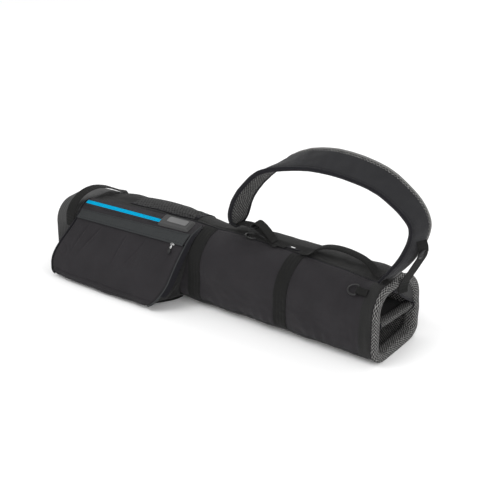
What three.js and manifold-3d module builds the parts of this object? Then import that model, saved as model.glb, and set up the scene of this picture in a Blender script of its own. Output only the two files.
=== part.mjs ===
// Lightweight golf carry bag lying on its side: a soft padded tube with a ribbed moulded base cup at
// one end, a padded two-way mouth at the other, a zipped ball pocket on the front, a mesh pocket on
// the back, and a shoulder strap, a grab handle and a base handle.
//
// Millimetres, +Z up. The tube is described in its own frame: X runs from the base end to the mouth,
// Y from the front to the back, and Z up from the floor. The finished group is shifted so that the
// origin is the point of the floor panel that rests on the floor half way along.

import * as THREE from 'three';
import Module from 'manifold-3d';
import { mergeVertices } from 'three/addons/utils/BufferGeometryUtils.js';

const wasm = await Module();
wasm.setup();

// ---------------------------------------------------------------- driving dimensions

const GAP = 0.4;                 // clearance kept between pieces that touch
const TUBE_LENGTH = 864;         // base end to mouth
const BASE_CUP_LENGTH = 66;
const BASE_WALL = 3;
const SKIN = 3;                  // padded fabric wall of the tube
const MOUTH_ROLL = 19;           // thickness of the padded roll round the mouth
const MOUTH_ROLL_DEPTH = 27;     // how far the roll reaches into the tube
const MOUTH_WRAP = 9;            // mesh turned over the outside of the roll
const LINING_LENGTH = 120;       // mesh lining and divider sheet inside the roll
const WEBBING = 2;               // thickness of flat webbing
const BAND_WIDTH = 32;           // webbing bands stitched round the front
const PAD_WIDTH = 62;            // shoulder pad
const PAD_THICKNESS = 11;
const SHEET = 2.4;               // pocket fabric
const POCKET_LEFT = 67;          // zipped pocket on the front
const POCKET_RIGHT = 380;
const MESH_POCKET_START = 165;   // mesh pocket on the back
const MESH_POCKET_END = 345;
const REST_POINT = [430, 90, 0]; // the origin's place in the tube's frame

// Cross-section of the tube at a few stations along it. front, back and top are coordinates;
// the other four are corner radii.
const STATIONS = [
  { x: 0, front: -6, back: 160, top: 152, bottomFront: 42, topFront: 46, topBack: 56, bottomBack: 38 },
  { x: 60, front: -5, back: 166, top: 157, bottomFront: 44, topFront: 55, topBack: 66, bottomBack: 40 },
  { x: 200, front: -4, back: 172, top: 166, bottomFront: 45, topFront: 68, topBack: 80, bottomBack: 40 },
  { x: 400, front: -3, back: 178, top: 173, bottomFront: 48, topFront: 74, topBack: 98, bottomBack: 40 },
  { x: 640, front: -3, back: 183, top: 170, bottomFront: 50, topFront: 78, topBack: 88, bottomBack: 40 },
  { x: 800, front: -2, back: 184, top: 170, bottomFront: 47, topFront: 66, topBack: 84, bottomBack: 36 },
  { x: 864, front: 1, back: 184, top: 173, bottomFront: 42, topFront: 54, topBack: 80, bottomBack: 32 },
];

// Places round the section, counted in eighths: 0 to 1 is the floor from back to front, 1 to 2 the
// bottom front corner, and so on over the front, the top and the back.
const TURNS = 8;
const CORNER_STEPS = 5;
const LOWER_SEAM = 1.6;
const UPPER_SEAM = 4;
const BACK_SEAM = 5.8;
const FLOOR_SEAM = 7.6;

// Path of the shoulder pad's middle line, with the direction of its width at each point.
const PAD_PATH = [
  { at: [462, 79, 198], across: [0.1, 0.94, -0.33] },
  { at: [476, 79, 254], across: [0.04, 0.92, -0.38] },
  { at: [528, 84, 312], across: [-0.2, 0.87, -0.42] },
  { at: [618, 90, 377], across: [-0.4, 0.89, 0.2] },
  { at: [738, 97, 394], across: [-0.2, 0.72, 0.67] },
  { at: [838, 95, 371], across: [0.05, 0.84, 0.53] },
  { at: [905, 94, 303], across: [0.36, 0.93, -0.08] },
  { at: [890, 84, 242], across: [0.25, 0.88, -0.4] },
  { at: [864, 71, 202], across: [0.15, 0.88, -0.45] },
];

const COLOURS = {
  frontFabric: { color: 0x343235, roughness: 0.85, metalness: 0 },
  darkFabric: { color: 0x2d2d2d, roughness: 0.9, metalness: 0 },
  webbing: { color: 0x262625, roughness: 0.8, metalness: 0 },
  binding: { color: 0x1e1c22, roughness: 0.7, metalness: 0 },
  strapFabric: { color: 0x363639, roughness: 0.6, metalness: 0 },
  mesh: { color: 0x707070, roughness: 0.9, metalness: 0 },
  grosgrain: { color: 0x454545, roughness: 0.85, metalness: 0 },
  blueTape: { color: 0x0aa8dc, roughness: 0.7, metalness: 0 },
  rubber: { color: 0x303032, roughness: 0.6, metalness: 0 },
  plate: { color: 0xbebebe, roughness: 0.5, metalness: 0 },
  plastic: { color: 0x141416, roughness: 0.4, metalness: 0 },
  basePlastic: { color: 0x3c3c3c, roughness: 0.6, metalness: 0 },
  nickel: { color: 0xc8c8c8, roughness: 0.25, metalness: 1 },
  blackWire: { color: 0x1c1c1c, roughness: 0.35, metalness: 0.6 },
};

// ---------------------------------------------------------------- small helpers

const bag = new THREE.Group();

function addNode(name, geometry, colour, parent = bag) {
  const mesh = new THREE.Mesh(geometry, new THREE.MeshStandardMaterial(COLOURS[colour]));
  mesh.name = name;
  parent.add(mesh);
  return mesh;
}

function steps(count) {
  return Array.from({ length: count + 1 }, (_, i) => i / count);
}

function vector([x, y, z]) {
  return new THREE.Vector3(x, y, z);
}

function signedVolume(positions, indices) {
  let volume = 0;
  const [a, b, c] = [new THREE.Vector3(), new THREE.Vector3(), new THREE.Vector3()];
  for (let i = 0; i < indices.length; i += 3) {
    a.fromArray(positions, 3 * indices[i]);
    b.fromArray(positions, 3 * indices[i + 1]);
    c.fromArray(positions, 3 * indices[i + 2]);
    volume += a.dot(b.cross(c));
  }
  return volume;
}

// A closed body through a row of rings with the same even number of points. Point j of a ring lies
// opposite point n - 1 - j, which is how the two ends are closed. A looped body joins its last ring
// to its first and has no ends.
function loft(rings, { looped = false } = {}) {
  const n = rings[0].length;
  const positions = rings.flat().flatMap((p) => p.toArray());
  const indices = [];
  const quad = (a, b, c, d) => indices.push(a, b, c, a, c, d);
  const last = looped ? rings.length : rings.length - 1;
  for (let i = 0; i < last; i += 1) {
    const here = i * n;
    const next = ((i + 1) % rings.length) * n;
    for (let j = 0; j < n; j += 1) {
      const k = (j + 1) % n;
      quad(here + j, here + k, next + k, next + j);
    }
  }
  if (!looped) {
    const end = (rings.length - 1) * n;
    for (let j = 0; j < n / 2 - 1; j += 1) {
      quad(j, n - 1 - j, n - 2 - j, j + 1);
      quad(end + j, end + j + 1, end + n - 2 - j, end + n - 1 - j);
    }
  }
  if (signedVolume(positions, indices) < 0) {
    indices.reverse();
  }
  const geometry = new THREE.BufferGeometry();
  geometry.setAttribute('position', new THREE.Float32BufferAttribute(positions, 3));
  geometry.setIndex(indices);
  return geometry;
}

// A sheet between two surfaces: outer(s, t) and inner(s, t) give points, at the given shares of each side.
function sheet(outer, inner, sharesS, sharesT) {
  const back = [...sharesT].reverse();
  return loft(sharesS.map((s) => [
    ...sharesT.map((t) => outer(s, t)),
    ...back.map((t) => inner(s, t)),
  ]));
}

// A flat band along a row of frames { at, across, normal }, from one side of the frame to the other.
function band(frames, width, low, high) {
  const rings = frames.map(({ at, across, normal }, i) => {
    const half = (typeof width === 'function' ? width(i / (frames.length - 1)) : width) / 2;
    const corner = (side, lift) => at.clone().addScaledVector(across, side * half).addScaledVector(normal, lift);
    return [corner(-1, low), corner(1, low), corner(1, high), corner(-1, high)];
  });
  return loft(rings);
}

// Frames along a smooth curve. The width keeps the given directions, squared to the curve.
function framesAlong(points, acrossAt, count) {
  const curve = new THREE.CatmullRomCurve3(points.map(vector), false, 'centripetal');
  return steps(count).map((t) => {
    const at = curve.getPointAt(t);
    const along = curve.getTangentAt(t);
    const across = acrossAt(curve.getUtoTmapping(t)).clone();
    across.addScaledVector(along, -across.dot(along)).normalize();
    return { at, across, normal: new THREE.Vector3().crossVectors(along, across) };
  });
}

function strapBand(points, across, width, low, high, count) {
  return band(framesAlong(points, () => vector(across), count), width, low, high);
}

function tube(points, radius, count, sides = 8) {
  const circle = new THREE.Shape().absarc(0, 0, radius, 0, 2 * Math.PI);
  const path = new THREE.CatmullRomCurve3(points, false, 'centripetal');
  return new THREE.ExtrudeGeometry(circle, {
    steps: count,
    curveSegments: sides,
    bevelEnabled: false,
    extrudePath: path,
  });
}

function roundedPlate(width, height, radius, thickness) {
  const [w, h] = [width / 2, height / 2];
  const outline = new THREE.Shape();
  outline.absarc(w - radius, h - radius, radius, 0, Math.PI / 2);
  outline.absarc(radius - w, h - radius, radius, Math.PI / 2, Math.PI);
  outline.absarc(radius - w, radius - h, radius, Math.PI, 1.5 * Math.PI);
  outline.absarc(w - radius, radius - h, radius, 1.5 * Math.PI, 2 * Math.PI);
  return new THREE.ExtrudeGeometry(outline, { depth: thickness, bevelEnabled: false, curveSegments: 3 });
}

function toSolid(geometry) {
  const plain = geometry.clone();
  plain.deleteAttribute('normal');
  plain.deleteAttribute('uv');
  const merged = mergeVertices(plain);
  return new wasm.Manifold(new wasm.Mesh({
    numProp: 3,
    vertProperties: new Float32Array(merged.attributes.position.array),
    triVerts: new Uint32Array(merged.index.array),
  }));
}

function fromSolid(solid) {
  const { vertProperties, triVerts } = solid.getMesh();
  const geometry = new THREE.BufferGeometry();
  geometry.setAttribute('position', new THREE.Float32BufferAttribute(vertProperties, 3));
  geometry.setIndex(Array.from(triVerts));
  return geometry;
}

function cut(geometry, ...tools) {
  return fromSolid(tools.reduce((solid, tool) => solid.subtract(toSolid(tool)), toSolid(geometry)));
}

// A group whose Z points along normal and whose X points along the given direction.
function frameGroup(at, along, normal, parent = bag) {
  const z = normal.clone().normalize();
  const x = along.clone().addScaledVector(z, -along.dot(z)).normalize();
  const y = new THREE.Vector3().crossVectors(z, x);
  const group = new THREE.Group();
  group.quaternion.setFromRotationMatrix(new THREE.Matrix4().makeBasis(x, y, z));
  group.position.copy(at);
  parent.add(group);
  return group;
}

// ---------------------------------------------------------------- the tube's surface

function sectionAt(x) {
  const next = Math.max(1, STATIONS.findIndex((station) => station.x >= x));
  const [a, b] = [STATIONS[next - 1], STATIONS[next]];
  const t = (x - a.x) / (b.x - a.x);
  return Object.fromEntries(Object.keys(a).map((key) => [key, THREE.MathUtils.lerp(a[key], b[key], t)]));
}

// The point of the tube's surface at x along it and turn round it, lifted along the section's normal.
function skinPoint(x, turn, lift = 0) {
  const s = sectionAt(x);
  const corners = [
    [s.front + s.bottomFront, s.bottomFront, s.bottomFront],
    [s.front + s.topFront, s.top - s.topFront, s.topFront],
    [s.back - s.topBack, s.top - s.topBack, s.topBack],
    [s.back - s.bottomBack, s.bottomBack, s.bottomBack],
  ];
  const onCorner = (k, part) => {
    const [y, z, radius] = corners[(k + 4) % 4];
    const angle = -(k + 1 + part) * Math.PI / 2;
    return new THREE.Vector3(x, y + (radius + lift) * Math.cos(angle), z + (radius + lift) * Math.sin(angle));
  };
  const wrapped = ((turn % TURNS) + TURNS) % TURNS;
  const corner = Math.floor(wrapped / 2);
  const part = wrapped - 2 * corner;
  return part < 1 ? onCorner(corner - 1, 1).lerp(onCorner(corner, 0), part) : onCorner(corner, part - 1);
}

function skinNormal(x, turn) {
  return skinPoint(x, turn, 1).sub(skinPoint(x, turn, 0)).normalize();
}

// Lines between from and to at which every layer of the wall is folded, so that layers stay parallel.
function foldLines(lines, from, to) {
  return [from, ...lines.filter((line) => line > from + 1e-3 && line < to - 1e-3), to];
}

function turnLines() {
  const lines = [];
  for (let turn = -TURNS; turn < TURNS; turn += 1) {
    const count = turn % 2 === 0 ? 1 : CORNER_STEPS;
    lines.push(...steps(count).slice(0, -1).map((part) => turn + part));
  }
  return lines;
}

function shares(lines, refine = 1) {
  const [from, to] = [lines[0], lines.at(-1)];
  const fine = lines.slice(0, -1).flatMap((line, i) => (
    steps(refine).slice(0, -1).map((part) => THREE.MathUtils.lerp(line, lines[i + 1], part))
  ));
  return [...fine, to].map((line) => (line - from) / (to - from));
}

const TURN_LINES = turnLines();
const STATION_LINES = STATIONS.map((station) => station.x);

// A piece of wall from x0 to x1 and from turn0 to turn1, between two lifts above the surface.
function wallPiece([x0, x1], [turn0, turn1], [low, high], refine = [1, 1]) {
  const at = (s, t, lift) => {
    const height = typeof lift === 'function' ? lift(s, t) : lift;
    return skinPoint(THREE.MathUtils.lerp(x0, x1, s), THREE.MathUtils.lerp(turn0, turn1, t), height);
  };
  return sheet(
    (s, t) => at(s, t, high),
    (s, t) => at(s, t, low),
    shares(foldLines(STATION_LINES, x0, x1), refine[0]),
    shares(foldLines(TURN_LINES, turn0, turn1), refine[1]),
  );
}

function roundTurns() {
  return foldLines(TURN_LINES, 0, TURNS).slice(0, -1);
}

// A ring round the whole tube whose cut is a closed outline of [x, lift] points.
function wallRing(outline) {
  const rings = roundTurns().map((turn) => outline.map(([x, lift]) => skinPoint(x, turn, lift)));
  return loft(rings, { looped: true });
}

// A group on the wall with X along the tube's surface and Z out of it.
function skinFrame(x, turn, lift) {
  const reach = 10;
  const along = skinPoint(x + reach, turn).sub(skinPoint(x - reach, turn)).normalize();
  const out = skinNormal(x, turn);
  out.addScaledVector(along, -out.dot(along)).normalize();
  return frameGroup(skinPoint(x, turn).addScaledVector(out, lift), along, out);
}

// ---------------------------------------------------------------- tube: base cup, panels and mouth

const PANEL_START = BASE_CUP_LENGTH + GAP;
const PANEL_END = TUBE_LENGTH - MOUTH_WRAP - GAP;
const TURN_GAP = 0.01;           // half the gap between neighbouring panels, in turns

function buildBaseCup() {
  const outline = (x, lift) => roundTurns().map((turn) => skinPoint(x, turn, lift));
  const rim = 3;
  addNode('base_cup', loft([
    outline(0, -rim),
    outline(rim, 0),
    outline(BASE_CUP_LENGTH, 0),
    outline(BASE_CUP_LENGTH, -BASE_WALL),
    outline(rim, -BASE_WALL),
  ]), 'basePlastic');
}

function buildPanels() {
  const panels = [
    ['front_panel', LOWER_SEAM, UPPER_SEAM, 'frontFabric'],
    ['spine_panel', UPPER_SEAM, BACK_SEAM, 'darkFabric'],
    ['back_panel', BACK_SEAM, FLOOR_SEAM, 'darkFabric'],
    ['floor_panel', FLOOR_SEAM - TURNS, LOWER_SEAM, 'darkFabric'],
  ];
  for (const [name, from, to, colour] of panels) {
    const turns = [from + TURN_GAP, to - TURN_GAP];
    addNode(name, wallPiece([PANEL_START, PANEL_END], turns, [-SKIN, 0]), colour);
  }
}

function buildPiping() {
  const end = PANEL_END - 2;
  const pipes = [
    ['upper_piping', PANEL_START, UPPER_SEAM, 0.035],
    ['back_piping', MESH_POCKET_END + 15, BACK_SEAM, 0.035],
    ['lower_piping', POCKET_RIGHT + 20, LOWER_SEAM, 0.07],
  ];
  for (const [name, start, turn, half] of pipes) {
    addNode(name, wallPiece([start, end], [turn - half, turn + half], [GAP, WEBBING]), 'binding');
  }
}

function buildBands() {
  const starts = { front_band_left: 384, front_band_centre: 612 };
  const clearOfPiping = 0.1;
  for (const [name, x] of Object.entries(starts)) {
    const turns = [LOWER_SEAM + clearOfPiping, UPPER_SEAM - clearOfPiping];
    addNode(name, wallPiece([x, x + BAND_WIDTH], turns, [GAP, GAP + WEBBING]), 'webbing');
  }
}

const HOOP_INSIDE = SKIN + GAP + 2.6;

// The mouth is a stiff hoop inside a padded roll of spacer mesh that is turned over the tube's edge.
function buildMouth() {
  const wrapStart = TUBE_LENGTH - MOUTH_WRAP;
  const rollStart = TUBE_LENGTH - MOUTH_ROLL_DEPTH;
  const rounding = 5;
  addNode('mouth_roll', wallRing([
    [wrapStart, 0],
    [TUBE_LENGTH - rounding, 0],
    [TUBE_LENGTH, -rounding],
    [TUBE_LENGTH, rounding - MOUTH_ROLL],
    [TUBE_LENGTH - rounding, -MOUTH_ROLL],
    [rollStart + rounding, -MOUTH_ROLL],
    [rollStart, rounding - MOUTH_ROLL],
    [rollStart, -HOOP_INSIDE - GAP],
    [wrapStart, -HOOP_INSIDE - GAP],
    [wrapStart, -SKIN],
  ]), 'mesh');
  addNode('mouth_hoop', wallRing([
    [rollStart + 1, -SKIN - GAP],
    [wrapStart - GAP, -SKIN - GAP],
    [wrapStart - GAP, -HOOP_INSIDE],
    [rollStart + 1, -HOOP_INSIDE],
  ]), 'plastic');
  const liningLines = foldLines(STATION_LINES, rollStart - LINING_LENGTH, rollStart - GAP);
  addNode('tube_lining', wallRing([
    ...liningLines.map((x) => [x, -SKIN - GAP]),
    ...liningLines.reverse().map((x) => [x, -SKIN - GAP - SHEET]),
  ]), 'mesh');
}

// The divider splits the mouth into two: a padded bar across it, with a fabric sheet running inwards.
const DIVIDER_FRONT = [TUBE_LENGTH - 13, 23, 91];
const DIVIDER_BACK = [TUBE_LENGTH - 13, 162, 79];

function buildDivider() {
  const [front, back] = [vector(DIVIDER_FRONT), vector(DIVIDER_BACK)];
  const across = back.clone().sub(front).normalize();
  const up = new THREE.Vector3().crossVectors(new THREE.Vector3(1, 0, 0), across);
  const halfDepth = 11;
  const bar = (t) => {
    const half = THREE.MathUtils.lerp(8, 6, t);
    const centre = front.clone().lerp(back, t);
    const edge = (dx, dz) => centre.clone().add(new THREE.Vector3(dx, 0, 0)).addScaledVector(up, dz);
    return [
      edge(-halfDepth, -half), edge(halfDepth - 4, -half), edge(halfDepth, -half / 2),
      edge(halfDepth, half / 2), edge(halfDepth - 4, half), edge(-halfDepth, half),
    ];
  };
  addNode('divider_bar', loft([bar(0), bar(1)]), 'mesh');
  const sheetEnd = TUBE_LENGTH - 13 - halfDepth - GAP;
  const lead = 2;
  const sheetAt = (s, t, z) => {
    const x = sheetEnd - LINING_LENGTH * (1 - s);
    const inside = across.clone().multiplyScalar(lead);
    const from = front.clone().add(inside);
    const to = back.clone().sub(inside);
    const point = from.lerp(to, t).addScaledVector(up, z);
    return point.setX(x);
  };
  const half = 1.5;
  addNode('divider_sheet', sheet(
    (s, t) => sheetAt(s, t, half), (s, t) => sheetAt(s, t, -half), steps(1), steps(1),
  ), 'darkFabric');
  buildDividerTab('divider_tab_front', front, across.clone().negate(), up);
  buildDividerTab('divider_tab_back', back, across, up);
}

// A bound tab sewn to the roll holds each end of the divider's bar.
function buildDividerTab(name, end, outwards, up) {
  const reach = 2.6;
  const halfHeight = 10;
  const corner = (dx, out, dz) => end.clone()
    .addScaledVector(outwards, GAP + out)
    .add(new THREE.Vector3(dx, 0, 0))
    .addScaledVector(up, dz);
  const ring = (out) => [corner(-9, out, -halfHeight), corner(10, out, -halfHeight),
    corner(10, out, halfHeight), corner(-9, out, halfHeight)];
  addNode(name, loft([ring(0), ring(reach - 1)]), 'binding');
}

// A mesh web fills the mouth's upper back corner, with a bound edge down to the divider's back end.
function buildCornerWeb() {
  const x = TUBE_LENGTH - 9;
  const thickness = 5;
  const top = [78, 151];
  const bottom = [160, 92];
  const inset = MOUTH_ROLL + GAP;
  const rimPoint = (turn) => {
    const p = skinPoint(x, turn, -inset);
    return [p.y, p.z];
  };
  const outline = [top, ...foldLines(TURN_LINES, 4.6, 5.8).map(rimPoint), bottom];
  const shape = new THREE.Shape(outline.map(([y, z]) => new THREE.Vector2(y, z)));
  const web = new THREE.ExtrudeGeometry(shape, { depth: thickness, bevelEnabled: false });
  const placed = web.applyMatrix4(new THREE.Matrix4().makeBasis(
    new THREE.Vector3(0, 1, 0), new THREE.Vector3(0, 0, 1), new THREE.Vector3(1, 0, 0),
  )).translate(x, 0, 0);
  addNode('corner_web', placed, 'mesh');
  const middle = x + thickness / 2;
  const below = 4;
  const path = [
    [middle, top[0] - below, top[1] - below / 2],
    [middle, 118, 119],
    [middle, bottom[0] - 2, bottom[1] - below],
  ];
  addNode('corner_binding', tube(path.map(vector), 2.4, 6), 'binding');
}

// A flat stay runs along the inside of the spine and keeps the soft tube straight.
function buildStay() {
  const depth = [-SKIN - GAP - 2.5, -SKIN - GAP];
  const end = TUBE_LENGTH - MOUTH_ROLL_DEPTH - LINING_LENGTH - 4;
  addNode('spine_stay', wallPiece([PANEL_START + 4, end], [4.35, 4.95], depth), 'plastic');
}

// ---------------------------------------------------------------- front pocket

const SEAM_MIDDLE = skinPoint((POCKET_LEFT + POCKET_RIGHT) / 2, UPPER_SEAM, 0);

// Cut of the pocket's front from the upper seam down to the floor, as [y, z], and its share of the
// length down the panel, 0 to 1.
const POCKET_CUT = new THREE.SplineCurve([
  [68, 173.5], [23, 161.5], [-14, 124], [-47, 76], [-70, 33], [-75, 13], [-63, 2.8],
].map(([y, z]) => new THREE.Vector2(y, z)));

function pocketEdges(v) {
  const left = THREE.MathUtils.lerp(POCKET_LEFT, 30, THREE.MathUtils.smoothstep(v, 0.25, 0.9));
  const right = THREE.MathUtils.lerp(POCKET_RIGHT, 354, v);
  const round = Math.max(0, (v - 0.78) / 0.22);
  const drop = 1 - Math.sqrt(Math.max(0, 1 - round * round));
  return [left + 24 * drop, right - 56 * drop];
}

const SEAM_SHARE = 0.3;          // how far down the front the seam's rise and fall still shows

// How much lower the zips and the storm flap lie at the left edge of the pocket than at the right,
// as [share down the panel, drop as a share].
const SLANT = [[0, 0], [0.05, 0], [0.1465, 0.027], [0.226, 0.078], [0.336, 0.05], [0.6, 0], [1, 0]];

function slantAt(v) {
  const next = Math.max(1, SLANT.findIndex(([at]) => at >= v));
  const [[from, dropFrom], [to, dropTo]] = [SLANT[next - 1], SLANT[next]];
  return THREE.MathUtils.mapLinear(v, from, to, dropFrom, dropTo);
}

// A point on the pocket's front, x along it and v down it, lifted off it.
function pocketPoint(x, v, lift = 0) {
  const across = THREE.MathUtils.clamp((x - POCKET_LEFT) / (POCKET_RIGHT - POCKET_LEFT), 0, 1);
  const down = v + slantAt(v) * (0.5 - across);
  const p = POCKET_CUT.getPointAt(down);
  const tangent = POCKET_CUT.getTangentAt(down);
  const seam = skinPoint(x, UPPER_SEAM, 0);
  const follow = Math.max(0, 1 - down / SEAM_SHARE) ** 2;
  const y = p.x + follow * (seam.y - SEAM_MIDDLE.y) + lift * tangent.y;
  const z = p.y + follow * (seam.z - SEAM_MIDDLE.z) - lift * tangent.x;
  return new THREE.Vector3(x, y, z);
}

// A piece of the pocket's front between two places down it. edgesAt gives its ends at each place.
function pocketPiece([v0, v1], [low, high], edgesAt, countX, countV) {
  const at = (s, t, lift) => {
    const v = THREE.MathUtils.lerp(v0, v1, t);
    const [left, right] = edgesAt(v);
    return pocketPoint(THREE.MathUtils.lerp(left, right, s), v, lift);
  };
  return sheet((s, t) => at(s, t, high), (s, t) => at(s, t, low), steps(countX), steps(countV));
}

const POCKET_TOP = 0.045;
const UPPER_ZIP = 0.145;         // middle of the blue zip
const FLAP_TOP = 0.2;
const FLAP_BOTTOM = 0.315;
const YOKE_BOTTOM = 0.3;
const LOWER_ZIP = 0.337;         // middle of the lower zip's slider
const MAIN_TOP = 0.352;
const PANEL_LENGTH = POCKET_CUT.getLength();

function buildPocketFront() {
  const inset = (margin) => (v) => {
    const [left, right] = pocketEdges(v);
    return [left + margin, right - margin];
  };
  const lift = [-SHEET, 0];
  const tapeHalf = 5.5 / PANEL_LENGTH;
  const tapeGap = GAP / PANEL_LENGTH;
  addNode('pocket_yoke', pocketPiece([POCKET_TOP, YOKE_BOTTOM], lift, inset(0), 4, 5), 'frontFabric');
  addNode('lower_zip_tape', pocketPiece(
    [YOKE_BOTTOM + tapeGap, MAIN_TOP - tapeGap], [-SHEET, -SHEET / 3], inset(2), 4, 1,
  ), 'binding');
  addNode('pocket_main_panel', pocketPiece([MAIN_TOP, 1], lift, inset(0), 6, 12), 'frontFabric');
  addNode('storm_flap', pocketPiece(
    [FLAP_TOP, FLAP_BOTTOM], [GAP, GAP + 1.6], inset(3), 4, 3,
  ), 'grosgrain');
  addNode('upper_zip_tape', pocketPiece(
    [UPPER_ZIP - tapeHalf, UPPER_ZIP + tapeHalf], [GAP, GAP + 1], () => [POCKET_LEFT + 4, 336], 4, 1,
  ), 'blueTape');
}

// Each side of the pocket is closed by a gusset from the front's edge back to the tube's wall.
function buildGusset(name, side, fromV) {
  const edgeIndex = side < 0 ? 0 : 1;
  const wallX = side < 0 ? [POCKET_LEFT + 10, POCKET_LEFT + 10] : [POCKET_RIGHT + 4, POCKET_RIGHT - 30];
  const setBack = side < 0 ? 0 : 24;
  const point = (s, t, thickness) => {
    const v = THREE.MathUtils.lerp(fromV, 0.93, s);
    const edge = pocketPoint(pocketEdges(v)[edgeIndex], v, -SHEET - 1.2);
    const turn = THREE.MathUtils.lerp(3.4, 1.35, s);
    const wall = skinPoint(THREE.MathUtils.lerp(...wallX, s), turn, 4);
    const p = edge.clone().lerp(wall, THREE.MathUtils.lerp(setBack / edge.distanceTo(wall), 1, t));
    p.x += side * thickness;
    p.z = Math.max(p.z, 3.2);
    return p;
  };
  addNode(name, sheet((s, t) => point(s, t, SHEET), (s, t) => point(s, t, 0), steps(8), steps(3)), 'darkFabric');
}

function buildPocketSides() {
  buildGusset('pocket_gusset_left', -1, 0.34);
  buildGusset('pocket_gusset_right', 1, 0.42);
  const strip = (s, t) => {
    const v = THREE.MathUtils.lerp(0.12, 0.8, s);
    const edge = pocketPoint(pocketEdges(v)[1] + 5.5, v, 0);
    const turn = THREE.MathUtils.lerp(3.8, 1.7, s);
    const wall = skinPoint(POCKET_RIGHT + 8, turn, 4);
    const reach = Math.min(13, edge.distanceTo(wall) * 0.7);
    const back = wall.sub(edge).normalize().multiplyScalar(reach * t);
    const slant = new THREE.Vector3(12 * t * Math.min(1, 4 * s), 0, 0);
    return edge.add(back).add(slant);
  };
  const stripNormal = (s) => {
    const down = strip(s + 0.01, 0.5).sub(strip(s - 0.01, 0.5));
    return down.cross(strip(s, 1).sub(strip(s, 0))).normalize();
  };
  const outwards = Math.sign(stripNormal(0.5).x) * SHEET;
  addNode('pocket_edge_strip', sheet(
    (s, t) => strip(s, t).addScaledVector(stripNormal(s), outwards), strip, steps(8), steps(1),
  ), 'grosgrain');
  const floorAt = (s, t, z) => {
    const front = pocketPoint(0, 1, 0).y + 3;
    const y = THREE.MathUtils.lerp(front, 22, t);
    const right = THREE.MathUtils.lerp(298, 346, Math.sin(t * Math.PI / 2));
    return new THREE.Vector3(THREE.MathUtils.lerp(58, right, s), y, z);
  };
  addNode('pocket_floor', sheet(
    (s, t) => floorAt(s, t, SHEET), (s, t) => floorAt(s, t, 0), steps(1), steps(4),
  ), 'darkFabric');
}

// Piping runs down both sides of the pocket's front.
function buildPocketPiping() {
  const radius = 1.7;
  for (const [name, side] of [['pocket_piping_left', 0], ['pocket_piping_right', 1]]) {
    const outwards = side === 0 ? -1 : 1;
    const margin = radius + 2 * GAP;
    const path = steps(12).map((t) => {
      const v = THREE.MathUtils.lerp(POCKET_TOP + 0.09, 0.9, t);
      const step = 0.01;
      const slope = (pocketEdges(v + step)[side] - pocketEdges(v - step)[side]) / (2 * step * PANEL_LENGTH);
      const out = outwards * margin / Math.hypot(1, slope);
      return pocketPoint(pocketEdges(v)[side] + out, v - out * slope / PANEL_LENGTH, -SHEET / 2);
    });
    addNode(name, tube(path, radius, 16, 6), 'binding');
  }
}

// A slider lies across its zip with its crown outwards; X of the group is along the zip.
function pocketFrame(x, v, lift) {
  const at = pocketPoint(x, v, lift);
  const normal = pocketPoint(x, v, lift + 1).sub(at);
  return frameGroup(at, new THREE.Vector3(1, 0, 0), normal);
}

const SLIDER = { length: 11, width: 7.4, height: 1.8 };
const LOWER_SLIDER_X = 341;
const UPPER_SLIDER_X = 322;

function buildSliders() {
  const lower = pocketFrame(LOWER_SLIDER_X, LOWER_ZIP, GAP);
  addNode('lower_zip_slider', sliderBody(), 'nickel', lower);
  const pull = roundedPlate(5, 19, 2, 1.4);
  const belowSlider = SLIDER.width / 2 + 0.6 + 19 / 2;
  addNode('lower_zip_pull', pull.translate(1, -belowSlider, 1.6), 'plastic', lower);
  const upper = pocketFrame(UPPER_SLIDER_X, UPPER_ZIP, GAP + 1 + GAP);
  addNode('upper_zip_slider', sliderBody(), 'nickel', upper);
}

// A slider's body with its low crown, as one solid.
function sliderBody() {
  const body = roundedPlate(SLIDER.length, SLIDER.width, 2, SLIDER.height);
  const crown = roundedPlate(6, 3, 1, 0.8).translate(0, 0, SLIDER.height - 0.1);
  return fromSolid(toSolid(body).add(toSolid(crown)));
}

// The rubber badge patch is hollowed underneath as a garage for the upper zip's slider.
function buildBadge() {
  const height = 6.4;
  const patch = pocketPiece([0.02, 0.19], [GAP, height], () => [267, 362], 4, 5);
  const garageHalf = 0.032;
  const garage = pocketPiece(
    [UPPER_ZIP - garageHalf, UPPER_ZIP + garageHalf], [-1, height - 1.4], () => [262, 345], 4, 2,
  );
  addNode('badge_patch', cut(patch, garage), 'rubber');
  addNode('badge_plate', pocketPiece(
    [0.045, 0.105], [height + GAP, height + GAP + 1.2], () => [290, 346], 4, 2,
  ), 'plate');
}

// ---------------------------------------------------------------- mesh pocket on the back

function buildMeshPocket() {
  const swell = (rise) => (s, t) => GAP + rise * Math.sin(Math.PI * s) ** 0.5 * Math.sin(Math.PI * t) ** 0.5;
  const turns = [4.35, 6.6];
  const thickness = 1.6;
  addNode('mesh_pocket', wallPiece(
    [MESH_POCKET_START, MESH_POCKET_END], turns, [swell(6), (s, t) => swell(6)(s, t) + thickness], [4, 1],
  ), 'mesh');
  addNode('mesh_pocket_hem', wallPiece(
    [MESH_POCKET_END + GAP, MESH_POCKET_END + 10], turns, [GAP, GAP + WEBBING],
  ), 'binding');
}

// ---------------------------------------------------------------- shoulder strap

function acrossPad(t) {
  const position = t * (PAD_PATH.length - 1);
  const i = Math.min(Math.floor(position), PAD_PATH.length - 2);
  return vector(PAD_PATH[i].across).lerp(vector(PAD_PATH[i + 1].across), position - i);
}

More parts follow.
